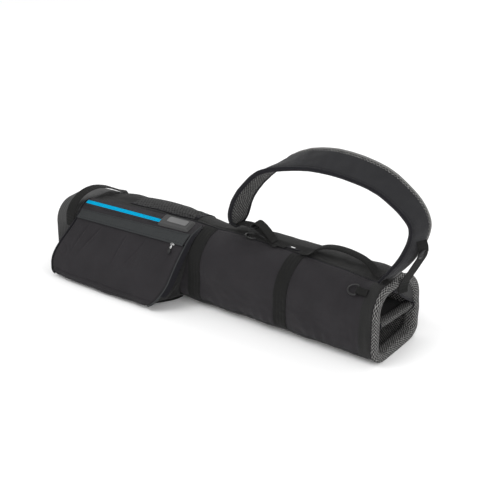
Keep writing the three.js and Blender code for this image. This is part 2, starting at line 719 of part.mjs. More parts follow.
function buildShoulderStrap() {
  const frames = framesAlong(PAD_PATH.map(({ at }) => at), acrossPad, 48);
  const width = (t) => {
    const leftEnd = Math.min(1, Math.sqrt(t / 0.05 + 0.16));
    const rightEnd = THREE.MathUtils.lerp(1, 0.6, THREE.MathUtils.smoothstep(t, 0.8, 1));
    return PAD_WIDTH * Math.min(leftEnd, rightEnd);
  };
  const meshLayer = 4.6;
  const layerGap = 2.3;
  const [low, high] = [-PAD_THICKNESS / 2, PAD_THICKNESS / 2];
  addNode('strap_pad', band(frames, width, low + meshLayer, high), 'strapFabric');
  addNode('strap_mesh', band(frames, width, low, low + meshLayer - layerGap), 'mesh');
}

// The pad's left end is held by webbing through a slide buckle, folded up into a stitched tail.
function buildLeftWebbing() {
  const across = [0, 1, 0];
  addNode('left_strap_webbing', strapBand([[473, 79, 197], [486, 79, 200], [500, 79, 200]], across, 25, 0, WEBBING, 3), 'webbing');
  const buckle = new THREE.BoxGeometry(13, 32, 3.4);
  const windows = [-3.2, 3.2].map((x) => new THREE.BoxGeometry(3.6, 26, 8).translate(x, 0, 0));
  const frame = frameGroup(vector([508.5, 79, 201.5]), new THREE.Vector3(1, 0, 0), new THREE.Vector3(0, 0, 1));
  addNode('left_slide_buckle', cut(buckle, ...windows), 'plastic', frame);
  addNode('left_webbing_tail', strapBand([[509, 79, 204.2], [513, 79, 214], [522, 79, 219], [533, 79, 214]], across, 25, 0, WEBBING, 6), 'webbing');
  addNode('left_anchor_webbing', strapBand([[518, 80, 197], [530, 82, 189], [544, 83.5, 180], [566, 83.5, 174.5]], across, 25, 0, WEBBING, 6), 'webbing');
}

function buildRightEnd() {
  addNode('strap_foot', strapBand(
    [[832, 66, 174.9], [846, 66, 176.6], [851, 66, 179.5]], [0, 1, 0], 34, 0, 4, 6,
  ), 'strapFabric');
  const across = [0, 1, 0];
  addNode('lifter_strap_webbing', strapBand(
    [[920, 95, 292], [921, 95, 276], [917, 94, 258]], [0.3, 0.95, 0], 25, 0, WEBBING, 3,
  ), 'webbing');
  const frame = frameGroup(vector([913.5, 94, 247]), new THREE.Vector3(0.24, 0, 0.97), new THREE.Vector3(0.97, 0, -0.24));
  const buckle = new THREE.BoxGeometry(15, 32, 4);
  const windows = [-3.6, 3.6].map((x) => new THREE.BoxGeometry(4, 26, 9).translate(x, 0, 0));
  addNode('lifter_buckle', cut(buckle, ...windows), 'plastic', frame);
  addNode('lifter_webbing', strapBand([[909, 94, 237], [893, 95, 205], [878, 96, 178], [871.5, 97, 167]], across, 25, 0, WEBBING, 6), 'webbing');
  addNode('lifter_anchor', strapBand([[867.8, 97, 163], [865.6, 97, 152], [865.4, 97, 138]], across, 25, 0, WEBBING, 3), 'webbing');
}

// ---------------------------------------------------------------- handles

// A handle is a raised strap between two feet that are sewn to the tube.
function buildHandle(name, path, across, width, thickness, feet) {
  addNode(name, strapBand(path, across, width, 0, thickness, 14), 'webbing');
  feet.forEach((foot, i) => {
    addNode(`${name}_foot_${i + 1}`, strapBand(foot.path, foot.across, width, 0, WEBBING, 4), 'webbing');
  });
}

function buildHandles() {
  buildHandle(
    'grab_handle',
    [[670, 80, 189.5], [684, 80, 198], [714, 80, 206], [756, 80, 205], [788, 80, 198], [803, 80, 189.5]],
    [0, 1, 0], 26, 5,
    [
      { across: [0, 1, 0], path: [[636, 80, 173.6], [650, 80, 174], [660, 80, 179], [665.5, 80, 185]] },
      { across: [0, 1, 0], path: [[807.5, 80, 185], [812, 80, 179], [818, 80, 175], [827, 80, 173.9]] },
    ],
  );
  buildHandle(
    'base_handle',
    [[47, -4, 142], [50, 6, 165], [56, 34, 184], [66, 66, 187], [78, 96, 180], [87, 112, 171]],
    [-0.95, 0.3, 0], 25, WEBBING,
    [
      { across: [-1, 0, 0], path: [[45, -6.4, 112], [45.5, -6, 124], [46, -5, 137]] },
      { across: [-0.95, 0.3, 0], path: [[90, 118, 167], [95, 126, 163], [101, 137, 158.5]] },
    ],
  );
}

// ---------------------------------------------------------------- rings, hook and label

// A wire D-ring lies on the front below the mouth, held by a sewn tab.
function buildDRing() {
  const frame = skinFrame(806, 3.58, 4.4);
  const half = [[0, 0.8], [0, 10], [-1.6, 12], [-12, 11.8], [-21, 6.6]];
  const mirrored = half.map(([along, across]) => [along, -across]).reverse();
  const path = [...half, [-24, 0], ...mirrored].map(([along, across]) => new THREE.Vector3(along, across, 0));
  addNode('d_ring', tube(path, 1.5, 30, 6), 'blackWire', frame);
  const fold = [
    [18, -0.4], [8, 0.6], [2, 2.7], [-1.9, 2.1], [-2.9, 0], [-1.9, -2.1], [1, -3], [8, -3], [18, -3],
  ];
  const tab = strapBand(fold.map(([along, up]) => [along, 0, up]), [0, 1, 0], 19, -0.5, 0.5, 16);
  addNode('d_ring_tab', tab, 'webbing', frame);
}

function buildHook() {
  const z = 177.5;
  const points = [[543, 76], [532, 79], [515, 84], [498, 84], [488, 76], [492, 66], [504, 63], [514, 66]];
  const path = points.map(([x, y]) => new THREE.Vector3(x, y, z));
  addNode('wire_hook', tube(path, 1.6, 24, 6), 'blackWire');
  const across = [0, 1, 0];
  addNode('hook_tab', strapBand(
    [[547, 66, 176.5], [556, 64, 174], [566, 63, 173.4]], across, 8, 0, WEBBING, 3,
  ), 'webbing');
}

function buildLabel() {
  const frame = frameGroup(vector([602, 92, 172.6]), new THREE.Vector3(1, 0, 0), new THREE.Vector3(0, 0, 1));
  addNode('label_tab', roundedPlate(28, 30, 2, 2), 'binding', frame);
}

// ---------------------------------------------------------------- assembly

buildBaseCup();
buildPanels();
buildPiping();
buildBands();
buildMouth();
buildDivider();
buildCornerWeb();
buildStay();
buildPocketFront();
buildPocketSides();
buildPocketPiping();
buildSliders();
buildBadge();
buildMeshPocket();
buildShoulderStrap();
buildLeftWebbing();
buildRightEnd();
buildHandles();
buildDRing();
buildHook();
buildLabel();

bag.position.set(-REST_POINT[0], -REST_POINT[1], -REST_POINT[2]);

export default bag;
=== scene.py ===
"""Looks of a lightweight golf carry bag lying on its side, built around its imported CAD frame."""

import math

import bpy
import numpy as np
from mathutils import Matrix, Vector


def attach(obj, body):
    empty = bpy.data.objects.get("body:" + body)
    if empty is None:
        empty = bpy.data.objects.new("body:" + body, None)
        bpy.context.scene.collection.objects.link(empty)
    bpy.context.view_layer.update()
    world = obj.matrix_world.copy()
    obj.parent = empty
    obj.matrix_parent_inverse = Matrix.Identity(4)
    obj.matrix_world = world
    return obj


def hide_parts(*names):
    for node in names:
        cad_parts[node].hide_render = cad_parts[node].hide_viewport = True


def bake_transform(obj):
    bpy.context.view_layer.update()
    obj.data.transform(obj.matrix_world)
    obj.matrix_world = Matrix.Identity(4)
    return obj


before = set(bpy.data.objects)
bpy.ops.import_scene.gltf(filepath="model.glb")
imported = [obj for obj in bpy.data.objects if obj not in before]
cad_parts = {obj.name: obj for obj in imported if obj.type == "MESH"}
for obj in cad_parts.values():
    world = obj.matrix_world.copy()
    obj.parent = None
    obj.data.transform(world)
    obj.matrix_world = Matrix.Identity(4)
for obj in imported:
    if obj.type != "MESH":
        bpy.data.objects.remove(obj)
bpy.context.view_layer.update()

# ------------------------------------------------------------------ dimensions, as in the CAD

# Shapes are worked out in millimetres in the tube's own frame, X from the base end to the mouth,
# Y from the front to the back and Z up, and placed in the row frame in metres.
MM = 0.001
REST_POINT = np.array([430.0, 90.0, 0.0])
FLOOR_CLEARANCE = 0.3
TUBE_LENGTH = 864
BASE_CUP_LENGTH = 66
BASE_WALL = 3
SKIN = 3
SKIN_START = 66.4
SKIN_END = 854.6
MOUTH_ROLL_START = 837
LINING_LENGTH = 120
BANDS = {"front_band_left": 384, "front_band_centre": 612}
BAND_WIDTH = 32
PAD_WIDTH = 62
POCKET_LEFT = 67
POCKET_RIGHT = 380
MESH_POCKET = (165, 345)
# an eighth of the way round the tube, roughly
EIGHTH_LENGTH = 78.0
NARROW_WEBBING = 25
PAD_STEPS = 300
SHARP_ANGLE = 50
LOWER_SEAM, UPPER_SEAM, BACK_SEAM, FLOOR_SEAM = 1.6, 4.0, 5.8, 7.6

# x, front, back, top, and the radii of the bottom front, top front, top back and bottom back corners
STATIONS = np.array([
    [0, -6, 160, 152, 42, 46, 56, 38],
    [60, -5, 166, 157, 44, 55, 66, 40],
    [200, -4, 172, 166, 45, 68, 80, 40],
    [400, -3, 178, 173, 48, 74, 98, 40],
    [640, -3, 183, 170, 50, 78, 88, 40],
    [800, -2, 184, 170, 47, 66, 84, 36],
    [864, 1, 184, 173, 42, 54, 80, 32],
], float)

# middle line of the shoulder pad and the direction of its width, on down to its sewn foot
PAD_PATH = np.array([
    [462, 79, 198, 0.1, 0.94, -0.33],
    [474, 76, 250, 0.06, 0.92, -0.38],
    [521, 87, 323, -0.22, 0.82, -0.5],
    [614, 95, 379, -0.42, 0.87, 0.22],
    [738, 97, 394, -0.2, 0.72, 0.67],
    [838, 95, 371, 0.05, 0.84, 0.53],
    [905, 94, 303, 0.36, 0.93, -0.08],
    [890, 84, 242, 0.25, 0.88, -0.4],
    [866, 72, 203, 0.15, 0.9, -0.4],
    [850, 67, 184, 0.1, 0.95, -0.3],
    [838, 66, 176, 0.0, 1.0, -0.05],
], float)

# cut of the pocket's front from the upper seam to the floor
POCKET_CUT = np.array([
    [68, 173.5], [23, 161.5], [-14, 124], [-47, 76], [-70, 33], [-75, 13], [-63, 2.8],
], float)
POCKET_TOP, YOKE_BOTTOM, MAIN_TOP = 0.045, 0.318, 0.334
UPPER_ZIP, LOWER_ZIP = 0.1465, 0.337
FLAP_TOP, FLAP_BOTTOM = 0.226, 0.336
UPPER_SLIDER_X, LOWER_SLIDER_X = 322, 341
SEAM_SHARE = 0.3
# how much lower the zips and the flap lie at the left edge than at the right, by share down the pocket
SLANT_AT = (0.0, 0.05, 0.1465, 0.226, 0.336, 0.6, 1.0)
SLANT = (0.0, 0.0, 0.027, 0.078, 0.05, 0.0, 0.0)

COLOURS = {
    "front_fabric": (0.0183, 0.0168, 0.0188),
    "dark_fabric": (0.016, 0.016, 0.0157),
    "floor_fabric": (0.0125, 0.0125, 0.0122),
    "webbing": (0.0115, 0.0115, 0.0112),
    "binding": (0.0085, 0.0082, 0.0105),
    "strap_fabric": (0.0135, 0.0135, 0.0152),
    "mesh": (0.3, 0.297, 0.29),
    "grosgrain": (0.031, 0.033, 0.034),
    "blue_tape": (0.0, 0.36, 0.63),
    "rubber": (0.028, 0.028, 0.028),
    "plate": (0.11, 0.11, 0.11),
    "plastic": (0.012, 0.012, 0.0125),
    "base_plastic": (0.038, 0.038, 0.038),
    "nickel": (0.34, 0.34, 0.34),
    "black_wire": (0.006, 0.006, 0.006),
    "label": (0.7, 0.7, 0.7),
}


# ------------------------------------------------------------------ curves and noise

def smooth_fields(knots, rows, at):
    """Rows of values at the knots, read smoothly at other places between them."""
    slopes = np.gradient(rows, knots, axis=0)
    i = np.clip(np.searchsorted(knots, at, side="right") - 1, 0, len(knots) - 2)
    step = (knots[i + 1] - knots[i])[..., None]
    t = np.clip((at - knots[i])[..., None] / step, -0.2, 1.2)
    start, end = rows[i], rows[i + 1]
    rise_start, rise_end = slopes[i] * step, slopes[i + 1] * step
    return (start * (1 + 2 * t) * (1 - t) ** 2 + rise_start * t * (1 - t) ** 2
            + end * t * t * (3 - 2 * t) + rise_end * t * t * (t - 1))


def spline(rows, count):
    """A smooth curve through rows of at least three columns, resampled evenly by arc length."""
    rows = np.asarray(rows, float)
    knots = np.r_[0, np.cumsum(np.linalg.norm(np.diff(rows[:, :3], axis=0), axis=1))]
    fine = smooth_fields(knots, rows, np.linspace(0, knots[-1], 40 * len(rows)))
    run = np.r_[0, np.cumsum(np.linalg.norm(np.diff(fine[:, :3], axis=0), axis=1))]
    at = np.linspace(0, run[-1], count)
    return np.stack([np.interp(at, run, fine[:, k]) for k in range(rows.shape[1])], axis=1)


def ripple(u, v, size, seed, waves=14):
    """Smooth noise of about unit height with bumps of the given size."""
    rng = np.random.default_rng(seed)
    total = 0.0
    for _ in range(waves):
        angle = rng.uniform(0, math.pi)
        k = 2 * math.pi / size * rng.uniform(0.55, 1.5)
        total = total + np.sin(k * (u * math.cos(angle) + v * math.sin(angle)) + rng.uniform(0, 6.28))
    return total * math.sqrt(2 / waves)


def crease(u, v, size, seed):
    """Noise with narrow valleys, as folds in cloth have."""
    return -np.exp(-(ripple(u, v, size, seed) / 0.22) ** 2)


def bump(x, centre, half):
    return np.exp(-((x - centre) / half) ** 2)


def ramp(x, low, high):
    t = np.clip((x - low) / (high - low), 0, 1)
    return t * t * (3 - 2 * t)


# ------------------------------------------------------------------ the tube's surface

def skin(x, turn, lift=0.0):
    """Points of the tube's surface at x along it and turn round it, in eighths, lifted off it."""
    x, turn, lift = np.broadcast_arrays(
        np.asarray(x, float), np.asarray(turn, float), np.asarray(lift, float))
    fields = smooth_fields(STATIONS[:, 0], STATIONS[:, 1:], x)
    front, back, top, r0, r1, r2, r3 = np.moveaxis(fields, -1, 0)
    centre_y = np.stack([front + r0, front + r1, back - r2, back - r3])
    centre_z = np.stack([r0, top - r1, top - r2, r3])
    radius = np.stack([r0, r1, r2, r3])

    def on_corner(k, part):
        index = np.mod(k, 4).astype(int)[None]
        y, z, r = (np.take_along_axis(a, index, 0)[0] for a in (centre_y, centre_z, radius))
        angle = -(k + 1 + part) * math.pi / 2
        return np.stack([x, y + (r + lift) * np.cos(angle), z + (r + lift) * np.sin(angle)], -1)

    wrapped = np.mod(turn, 8)
    corner = np.floor(wrapped / 2)
    part = wrapped - 2 * corner
    flat_share = np.clip(part, 0, 1)[..., None]
    flat = on_corner(corner - 1, 1.0) * (1 - flat_share) + on_corner(corner, 0.0) * flat_share
    return np.where((part < 1)[..., None], flat, on_corner(corner, part - 1))


def round_distance(turn):
    """Rough distance round the tube, for noise that doesn't stretch."""
    return turn * EIGHTH_LENGTH


def seam_dip(turn, seam, depth=1.3, half=0.045):
    return -depth * bump(turn, seam, half)


def skin_lift(x, turn):
    """How far the cloth of the tube lies off its plain surface: folds, dips at seams, puffs."""
    around = round_distance(turn)
    lift = 0.8 * ripple(x, around, 110, 1) + 0.22 * ripple(x, around, 40, 2)
    mouth_folds = ramp(x, 745, 830) * (1 - ramp(x, 846, 856))
    lift = lift + mouth_folds * (0.45 * ripple(x, around / 7, 17, 3) - 0.6)
    puckers = np.exp(-np.abs(turn - LOWER_SEAM - 0.1) / 0.3) * (turn > LOWER_SEAM - 0.4)
    lift = lift + 0.8 * puckers * ripple(x, around / 3, 26, 4)
    lift = lift + 0.5 * bump(x, 660, 60) * crease(x + 0.8 * around, around, 90, 5)
    for start in BANDS.values():
        pull = bump(x, start + BAND_WIDTH / 2, 30)
        lift = lift - 1.1 * pull * (turn > LOWER_SEAM) * (turn < UPPER_SEAM)
        lift = lift + 0.7 * bump(x, start + BAND_WIDTH + 14, 12) * crease(x, around / 2.2, 30, start)
    for seam in (LOWER_SEAM, UPPER_SEAM, BACK_SEAM, FLOOR_SEAM):
        lift = lift + seam_dip(turn, seam)
    on_floor = bump(np.mod(turn + 0.5, 8) - 1.0, 0.0, 0.75)
    top_sag = -1.5 * bump(turn, 4.6, 0.35) * bump(x, 440, 70)
    fade = ramp(x, SKIN_START, SKIN_START + 10) * (1 - ramp(x, SKIN_END - 8, SKIN_END))
    rear_puff = 9.0 * ramp(x, 420, 500) * (1 - ramp(x, 800, 850))
    base_puff = 5.0 * ramp(x, 80, 150) * (1 - ramp(x, 300, 400))
    spine = (rear_puff + base_puff) * bump(turn, 5.15, 0.55)
    return (np.maximum(lift, -2.4) * (1 - 0.8 * on_floor) + top_sag + spine) * fade


# ------------------------------------------------------------------ meshes

def place(points):
    """Points in the tube's frame, in millimetres, to the row frame in metres, clear of the floor."""
    moved = (np.asarray(points, float) - REST_POINT) * MM
    moved[..., 2] = np.maximum(moved[..., 2], FLOOR_CLEARANCE * MM)
    return moved


def make_object(name, vertices, faces, uvs):
    mesh = bpy.data.meshes.new(name)
    mesh.from_pydata(vertices.tolist(), [], faces)
    layer = mesh.uv_layers.new(name="weave")
    layer.data.foreach_set("uv", np.asarray(uvs, np.float32).ravel())
    mesh.polygons.foreach_set("use_smooth", [True] * len(mesh.polygons))
    mesh.set_sharp_from_angle(angle=math.radians(SHARP_ANGLE))
    mesh.update()
    obj = bpy.data.objects.new(name, mesh)
    bpy.context.scene.collection.objects.link(obj)
    return obj


def run_lengths(points, axis):
    steps = np.linalg.norm(np.diff(points, axis=axis), axis=-1)
    middle = np.take(steps, steps.shape[1 - axis] // 2, axis=1 - axis)
    return np.r_[0, np.cumsum(middle)]


def shell(name, outer, inner, loop=False, capped=False):
    """A closed sheet between two grids of points. loop joins the last column to the first;
    capped fills the hole inside the first row of a looped grid."""
    rows, cols = outer.shape[:2]
    vertices = place(np.concatenate([outer.reshape(-1, 3), inner.reshape(-1, 3)]))
    closed = np.concatenate([outer, outer[:, :1]], 1) if loop else outer
    u, v = run_lengths(closed, 1) * MM, run_lengths(outer, 0) * MM
    below = rows * cols
    faces, uvs = [], []

    def quad(corners, texture):
        faces.append(corners)
        uvs.extend(texture)

    spans = cols if loop else cols - 1
    for i in range(rows - 1):
        for j in range(spans):
            k = (j + 1) % cols
            a, b, c, d = i * cols + j, i * cols + k, (i + 1) * cols + k, (i + 1) * cols + j
            texture = [(u[j], v[i]), (u[j + 1], v[i]), (u[j + 1], v[i + 1]), (u[j], v[i + 1])]
            quad((a, b, c, d), texture)
            quad((below + d, below + c, below + b, below + a), texture[::-1])
    for i, flip in ((0, False), (rows - 1, True)):
        if capped and i == 0:
            for start, order in ((0, 1), (below, -1)):
                ring = [start + j for j in range(cols)][::-order]
                faces.append(ring)
                uvs.extend([(vertices[p][1], vertices[p][2]) for p in ring])
            continue
        for j in range(spans):
            k = (j + 1) % cols
            a, b = i * cols + j, i * cols + k
            corners = (below + a, below + b, b, a)
            texture = [(u[j], v[i]), (u[j + 1], v[i])] * 2
            quad(corners[::-1] if flip else corners, texture)
    if not loop:
        for j, flip in ((0, True), (cols - 1, False)):
            for i in range(rows - 1):
                a, b = i * cols + j, (i + 1) * cols + j
                corners = (below + a, below + b, b, a)
                texture = [(u[j], v[i]), (u[j], v[i + 1])] * 2
                quad(corners[::-1] if flip else corners, texture)
    return make_object(name, vertices, faces, uvs)


def sweep(name, rings, looped=False):
    """A closed body through a row of closed rings of points; looped joins its two ends."""
    rings = np.asarray(rings, float)
    count, n = rings.shape[:2]
    closed = np.concatenate([rings, rings[:, :1]], 1)
    u, v = run_lengths(closed, 1) * MM, run_lengths(rings, 0) * MM
    v = np.r_[v, v[-1] + (v[1] - v[0])]
    faces, uvs = [], []
    for i in range(count if looped else count - 1):
        following = (i + 1) % count
        for j in range(n):
            k = (j + 1) % n
            faces.append((i * n + j, following * n + j, following * n + k, i * n + k))
            uvs.extend([(u[j], v[i]), (u[j], v[i + 1]), (u[j + 1], v[i + 1]), (u[j + 1], v[i])])
    if not looped:
        faces.append(list(range(n)))
        uvs.extend([(u[j], 0) for j in range(n)])
        faces.append([(count - 1) * n + j for j in reversed(range(n))])
        uvs.extend([(u[j], 0) for j in reversed(range(n))])
    return make_object(name, place(rings.reshape(-1, 3)), faces, uvs)


def unit(vectors):
    return vectors / np.maximum(np.linalg.norm(vectors, axis=-1, keepdims=True), 1e-9)


def frames_along(points, across):
    """Points with a width direction and a normal at each, squared to the path."""
    along = unit(np.gradient(points, axis=0))
    across = np.broadcast_to(np.asarray(across, float), points.shape)
    across = unit(across - along * np.sum(across * along, -1, keepdims=True))
    return points, across, np.cross(along, across)


def band(name, path, across, width, thickness, count, lift=0.0):
    """A flat strap along a path, with rounded edges."""
    points, side, normal = frames_along(spline(path, count), across)
    half, t = width / 2, thickness / 2
    shoulder, flat, slope = half - t * 0.5, half - t * 1.5, t * 0.85
    profile = [(-half, 0), (-shoulder, slope), (-flat, t), (0, t), (flat, t), (shoulder, slope),
               (half, 0), (shoulder, -slope), (flat, -t), (0, -t), (-flat, -t), (-shoulder, -slope)]
    rings = [[p + side[i] * a + normal[i] * (b + t + lift) for a, b in profile]
             for i, p in enumerate(points)]
    return sweep(name, rings)


def cable(name, points, radius, sides=12, looped=False, flatten=1.0, outward=None):
    """A round tube along points; flatten scales its size along the outward directions."""
    points = np.asarray(points, float)
    if looped:
        along = unit(np.roll(points, -1, 0) - np.roll(points, 1, 0))
    else:
        along = unit(np.gradient(points, axis=0))
    if outward is None:
        seed = np.array([0.0, 0.0, 1.0]) if abs(along[0][2]) < 0.8 else np.array([0.0, 1.0, 0.0])
        directions = []
        for tangent in along:
            seed = seed - tangent * (seed @ tangent)
            seed = seed / np.linalg.norm(seed)
            directions.append(seed)
        outward = np.array(directions)
    outward = unit(outward - along * np.sum(outward * along, -1, keepdims=True))
    side = np.cross(along, outward)
    angles = np.linspace(0, 2 * math.pi, sides, endpoint=False)
    rings = [[p + radius * (flatten * math.cos(a) * outward[i] + math.sin(a) * side[i])
              for a in angles] for i, p in enumerate(points)]
    return sweep(name, rings, looped)


def stitches(name, points, normals, length=3.0, gap=1.4, width=0.5, lift=0.35):
    """A row of thread stitches along a line of points that lies on a surface."""
    run = np.r_[0, np.cumsum(np.linalg.norm(np.diff(points, axis=0), axis=1))]
    starts = np.arange(gap, run[-1] - length, length + gap)

    def read(values, at):
        return np.array([np.interp(at, run, values[:, k]) for k in range(3)])

    vertices, faces = [], []
    for start in starts:
        a, b = read(points, start), read(points, start + length)
        up = unit(read(normals, start))
        side = unit(np.cross(b - a, up)) * width
        base = len(vertices)
        middle = (a + b) / 2
        vertices += [a, middle + side, b, middle - side, middle + up * lift, middle - up * lift]
        for i, j in ((0, 1), (1, 2), (2, 3), (3, 0)):
            faces.append((base + i, base + j, base + 4))
            faces.append((base + j, base + i, base + 5))
    uvs = [(0, 0)] * (3 * len(faces))
    return make_object(name, place(vertices), faces, uvs)


# ------------------------------------------------------------------ materials

class Shader:
    """Builds one material's nodes; every pattern is worked out from the weave map, in metres."""

    def __init__(self, name, colour, roughness, **constants):
        self.material = bpy.data.materials.new(name)
        self.material.use_nodes = True
        self.tree = self.material.node_tree
        self.surface = self.tree.nodes["Principled BSDF"]
        self.surface.inputs["Base Color"].default_value = (*colour, 1)
        self.surface.inputs["Roughness"].default_value = roughness
        for socket, value in constants.items():
            self.surface.inputs[socket.replace("_", " ")].default_value = value
        self.weave = self.node("ShaderNodeUVMap", uv_map="weave").outputs[0]
        self.solid = self.node("ShaderNodeTexCoord").outputs["Object"]
        split = self.node("ShaderNodeSeparateXYZ", {0: self.weave})
        self.u, self.v = split.outputs[0], split.outputs[1]

    def node(self, kind, inputs=None, **settings):
        made = self.tree.nodes.new(kind)
        for key, value in settings.items():
            setattr(made, key, value)
        for key, value in (inputs or {}).items():
            if isinstance(value, bpy.types.NodeSocket):
                self.tree.links.new(value, made.inputs[key])
            else:
                made.inputs[key].default_value = value
        return made

    def math(self, operation, a, b=0.0, c=0.0):
        return self.node("ShaderNodeMath", {0: a, 1: b, 2: c}, operation=operation).outputs[0]

    def wave(self, value, pitch, shift=0.0):
        """0 to 1 and back once in every pitch metres."""
        phase = self.math("MULTIPLY_ADD", value, 2 * math.pi / pitch, shift)
        return self.math("MULTIPLY_ADD", self.math("SINE", phase), 0.5, 0.5)

    def noise(self, size, detail=3.0):
        made = self.node("ShaderNodeTexNoise", {
            "Vector": self.solid, "Scale": 1 / size, "Detail": detail, "Roughness": 0.5})
        return made.outputs[0]

    def spread(self, value, low, high, to_low=0.0, to_high=1.0):
        made = self.node("ShaderNodeMapRange", {
            "Value": value, "From Min": low, "From Max": high, "To Min": to_low, "To Max": to_high})
        return made.outputs[0]

    def paint(self, share, low, high):
        """Base colour between two shades by share."""
        made = self.node("ShaderNodeMix", {"Factor": share}, data_type="RGBA")
        ends = {socket.name: socket for socket in made.inputs if socket.type == "RGBA"}
        ends["A"].default_value = (*low, 1)
        ends["B"].default_value = (*high, 1)
        mixed = next(socket for socket in made.outputs if socket.type == "RGBA")
        self.tree.links.new(mixed, self.surface.inputs["Base Color"])

    def raise_by(self, height, depth, strength=1.0):
        made = self.node("ShaderNodeBump", {"Height": height, "Distance": depth, "Strength": strength})
        self.tree.links.new(made.outputs[0], self.surface.inputs["Normal"])

    def rough(self, value):
        self.tree.links.new(value, self.surface.inputs["Roughness"])


def shade(colour, factor):
    return tuple(c * factor for c in colour)


def woven(name, slot, pitch=0.0011, depth=0.00035, contrast=0.4, roughness=0.85, sheen=0.05,
          colour=None):
    """Plain woven cloth: threads over and under, with a slow drift of shade across it."""
    base = colour or COLOURS[slot]
    mottle = 0.32
    shader = Shader(name, base, roughness, Sheen_Weight=sheen, Sheen_Roughness=0.5,
                    Specular_IOR_Level=0.14)
    over = shader.wave(shader.u, pitch)
    under = shader.wave(shader.v, pitch)
    checks = shader.math("MULTIPLY_ADD", shader.math("SUBTRACT", over, 0.5),
                         shader.math("SUBTRACT", under, 0.5), 0.5)
    weave = shader.spread(checks, 0.25, 0.75)
    thread = shader.noise(0.0009, 2.0)
    drift = shader.noise(0.05, 3.0)
    share = shader.math("MULTIPLY_ADD", weave, contrast, shader.math(
        "MULTIPLY_ADD", thread, 0.35, shader.spread(drift, 0.3, 0.7, 0.0, mottle)))
    shader.paint(share, shade(base, 0.7), shade(base, 1.32))
    height = shader.math("MULTIPLY_ADD", thread, 0.4, weave)
    shader.raise_by(height, depth, 0.7)
    shader.rough(shader.spread(thread, 0.2, 0.8, roughness - 0.08, roughness + 0.06))
    return shader.material


def ribbed(name, slot, pitch, depth=0.0005, cross=0.0, roughness=0.8, sheen=0.04, colour=None,
           contrast=0.5):
    """Webbing and ribbed tape: ribs along one way, with finer threads across them."""
    base = colour or COLOURS[slot]
    shader = Shader(name, base, roughness, Sheen_Weight=sheen, Sheen_Roughness=0.4,
                    Specular_IOR_Level=0.09)
    across_ribs = shader.u
    if cross:
        zigzag = shader.math("PINGPONG", shader.v, cross)
        across_ribs = shader.math("MULTIPLY_ADD", zigzag, 0.7, shader.u)
    ribs = shader.wave(across_ribs, pitch)
    fine = shader.wave(shader.v, pitch * 0.45)
    worn = shader.noise(0.0022, 3.0)
    share = shader.math("MULTIPLY_ADD", ribs, contrast, shader.math(
        "MULTIPLY_ADD", fine, 0.15, shader.spread(worn, 0.3, 0.75, 0.0, 0.35)))
    shader.paint(share, shade(base, 0.66), shade(base, 1.35))
    shader.raise_by(shader.math("MULTIPLY_ADD", fine, 0.25, ribs), depth, 0.8)
    return shader.material


def spacer_mesh(name, light, pitch, hole=0.3, turn=0.785):
    """Knitted spacer mesh: rows of small dark holes in lighter knit."""
    dark = (0.008, 0.008, 0.008)
    depth = 0.0009
    shader = Shader(name, light, 0.8, Specular_IOR_Level=0.2)
    mapping = shader.node("ShaderNodeMapping", {
        "Vector": shader.weave, "Rotation": (0, 0, turn), "Scale": (1 / pitch, 0.8 / pitch, 1)})
    cells = shader.node("ShaderNodeTexVoronoi", {
        "Vector": mapping.outputs[0], "Scale": 1.0, "Randomness": 0.16})
    knit = shader.spread(cells.outputs["Distance"], hole * 0.72, hole * 1.35)
    worn = shader.noise(0.004, 3.0)
    share = shader.math("MULTIPLY", knit, shader.spread(worn, 0.25, 0.75, 0.62, 1.0))
    shader.paint(share, dark, light)
    shader.raise_by(knit, depth, 1.0)
    return shader.material


def moulded(name, slot, roughness, depth=0.0001, metallic=0.0, specular=0.5):
    """Moulded plastic, rubber or plated metal, with a fine grain and uneven polish."""
    grain = 0.0016
    base = COLOURS[slot]
    shader = Shader(name, base, roughness, Metallic=metallic, Specular_IOR_Level=specular)
    fine = shader.noise(grain, 4.0)
    broad = shader.noise(0.03, 2.0)
    shader.paint(shader.math("MULTIPLY_ADD", fine, 0.5, shader.spread(broad, 0.3, 0.7, 0.0, 0.5)),
                 shade(base, 0.8), shade(base, 1.2))
    shader.raise_by(fine, depth, 0.5)
    shader.rough(shader.spread(broad, 0.3, 0.7, roughness - 0.07, roughness + 0.07))
    return shader.material


def zip_tape(name):
    """Bright zip tape with a darker line of teeth stitching on each side of its coil."""
    base = COLOURS["blue_tape"]
    shader = Shader(name, base, 0.7, Specular_IOR_Level=0.02)
    tooth = shader.wave(shader.u, 0.0017)
    weave = shader.wave(shader.v, 0.0009)
    worn = shader.noise(0.003, 2.0)
    share = shader.math("MULTIPLY_ADD", tooth, 0.35, shader.math(
        "MULTIPLY_ADD", weave, 0.25, shader.spread(worn, 0.3, 0.7, 0.1, 0.45)))
    shader.paint(share, shade(base, 0.62), shade(base, 1.1))
    shader.raise_by(shader.math("ADD", tooth, weave), 0.0003, 0.6)
    return shader.material


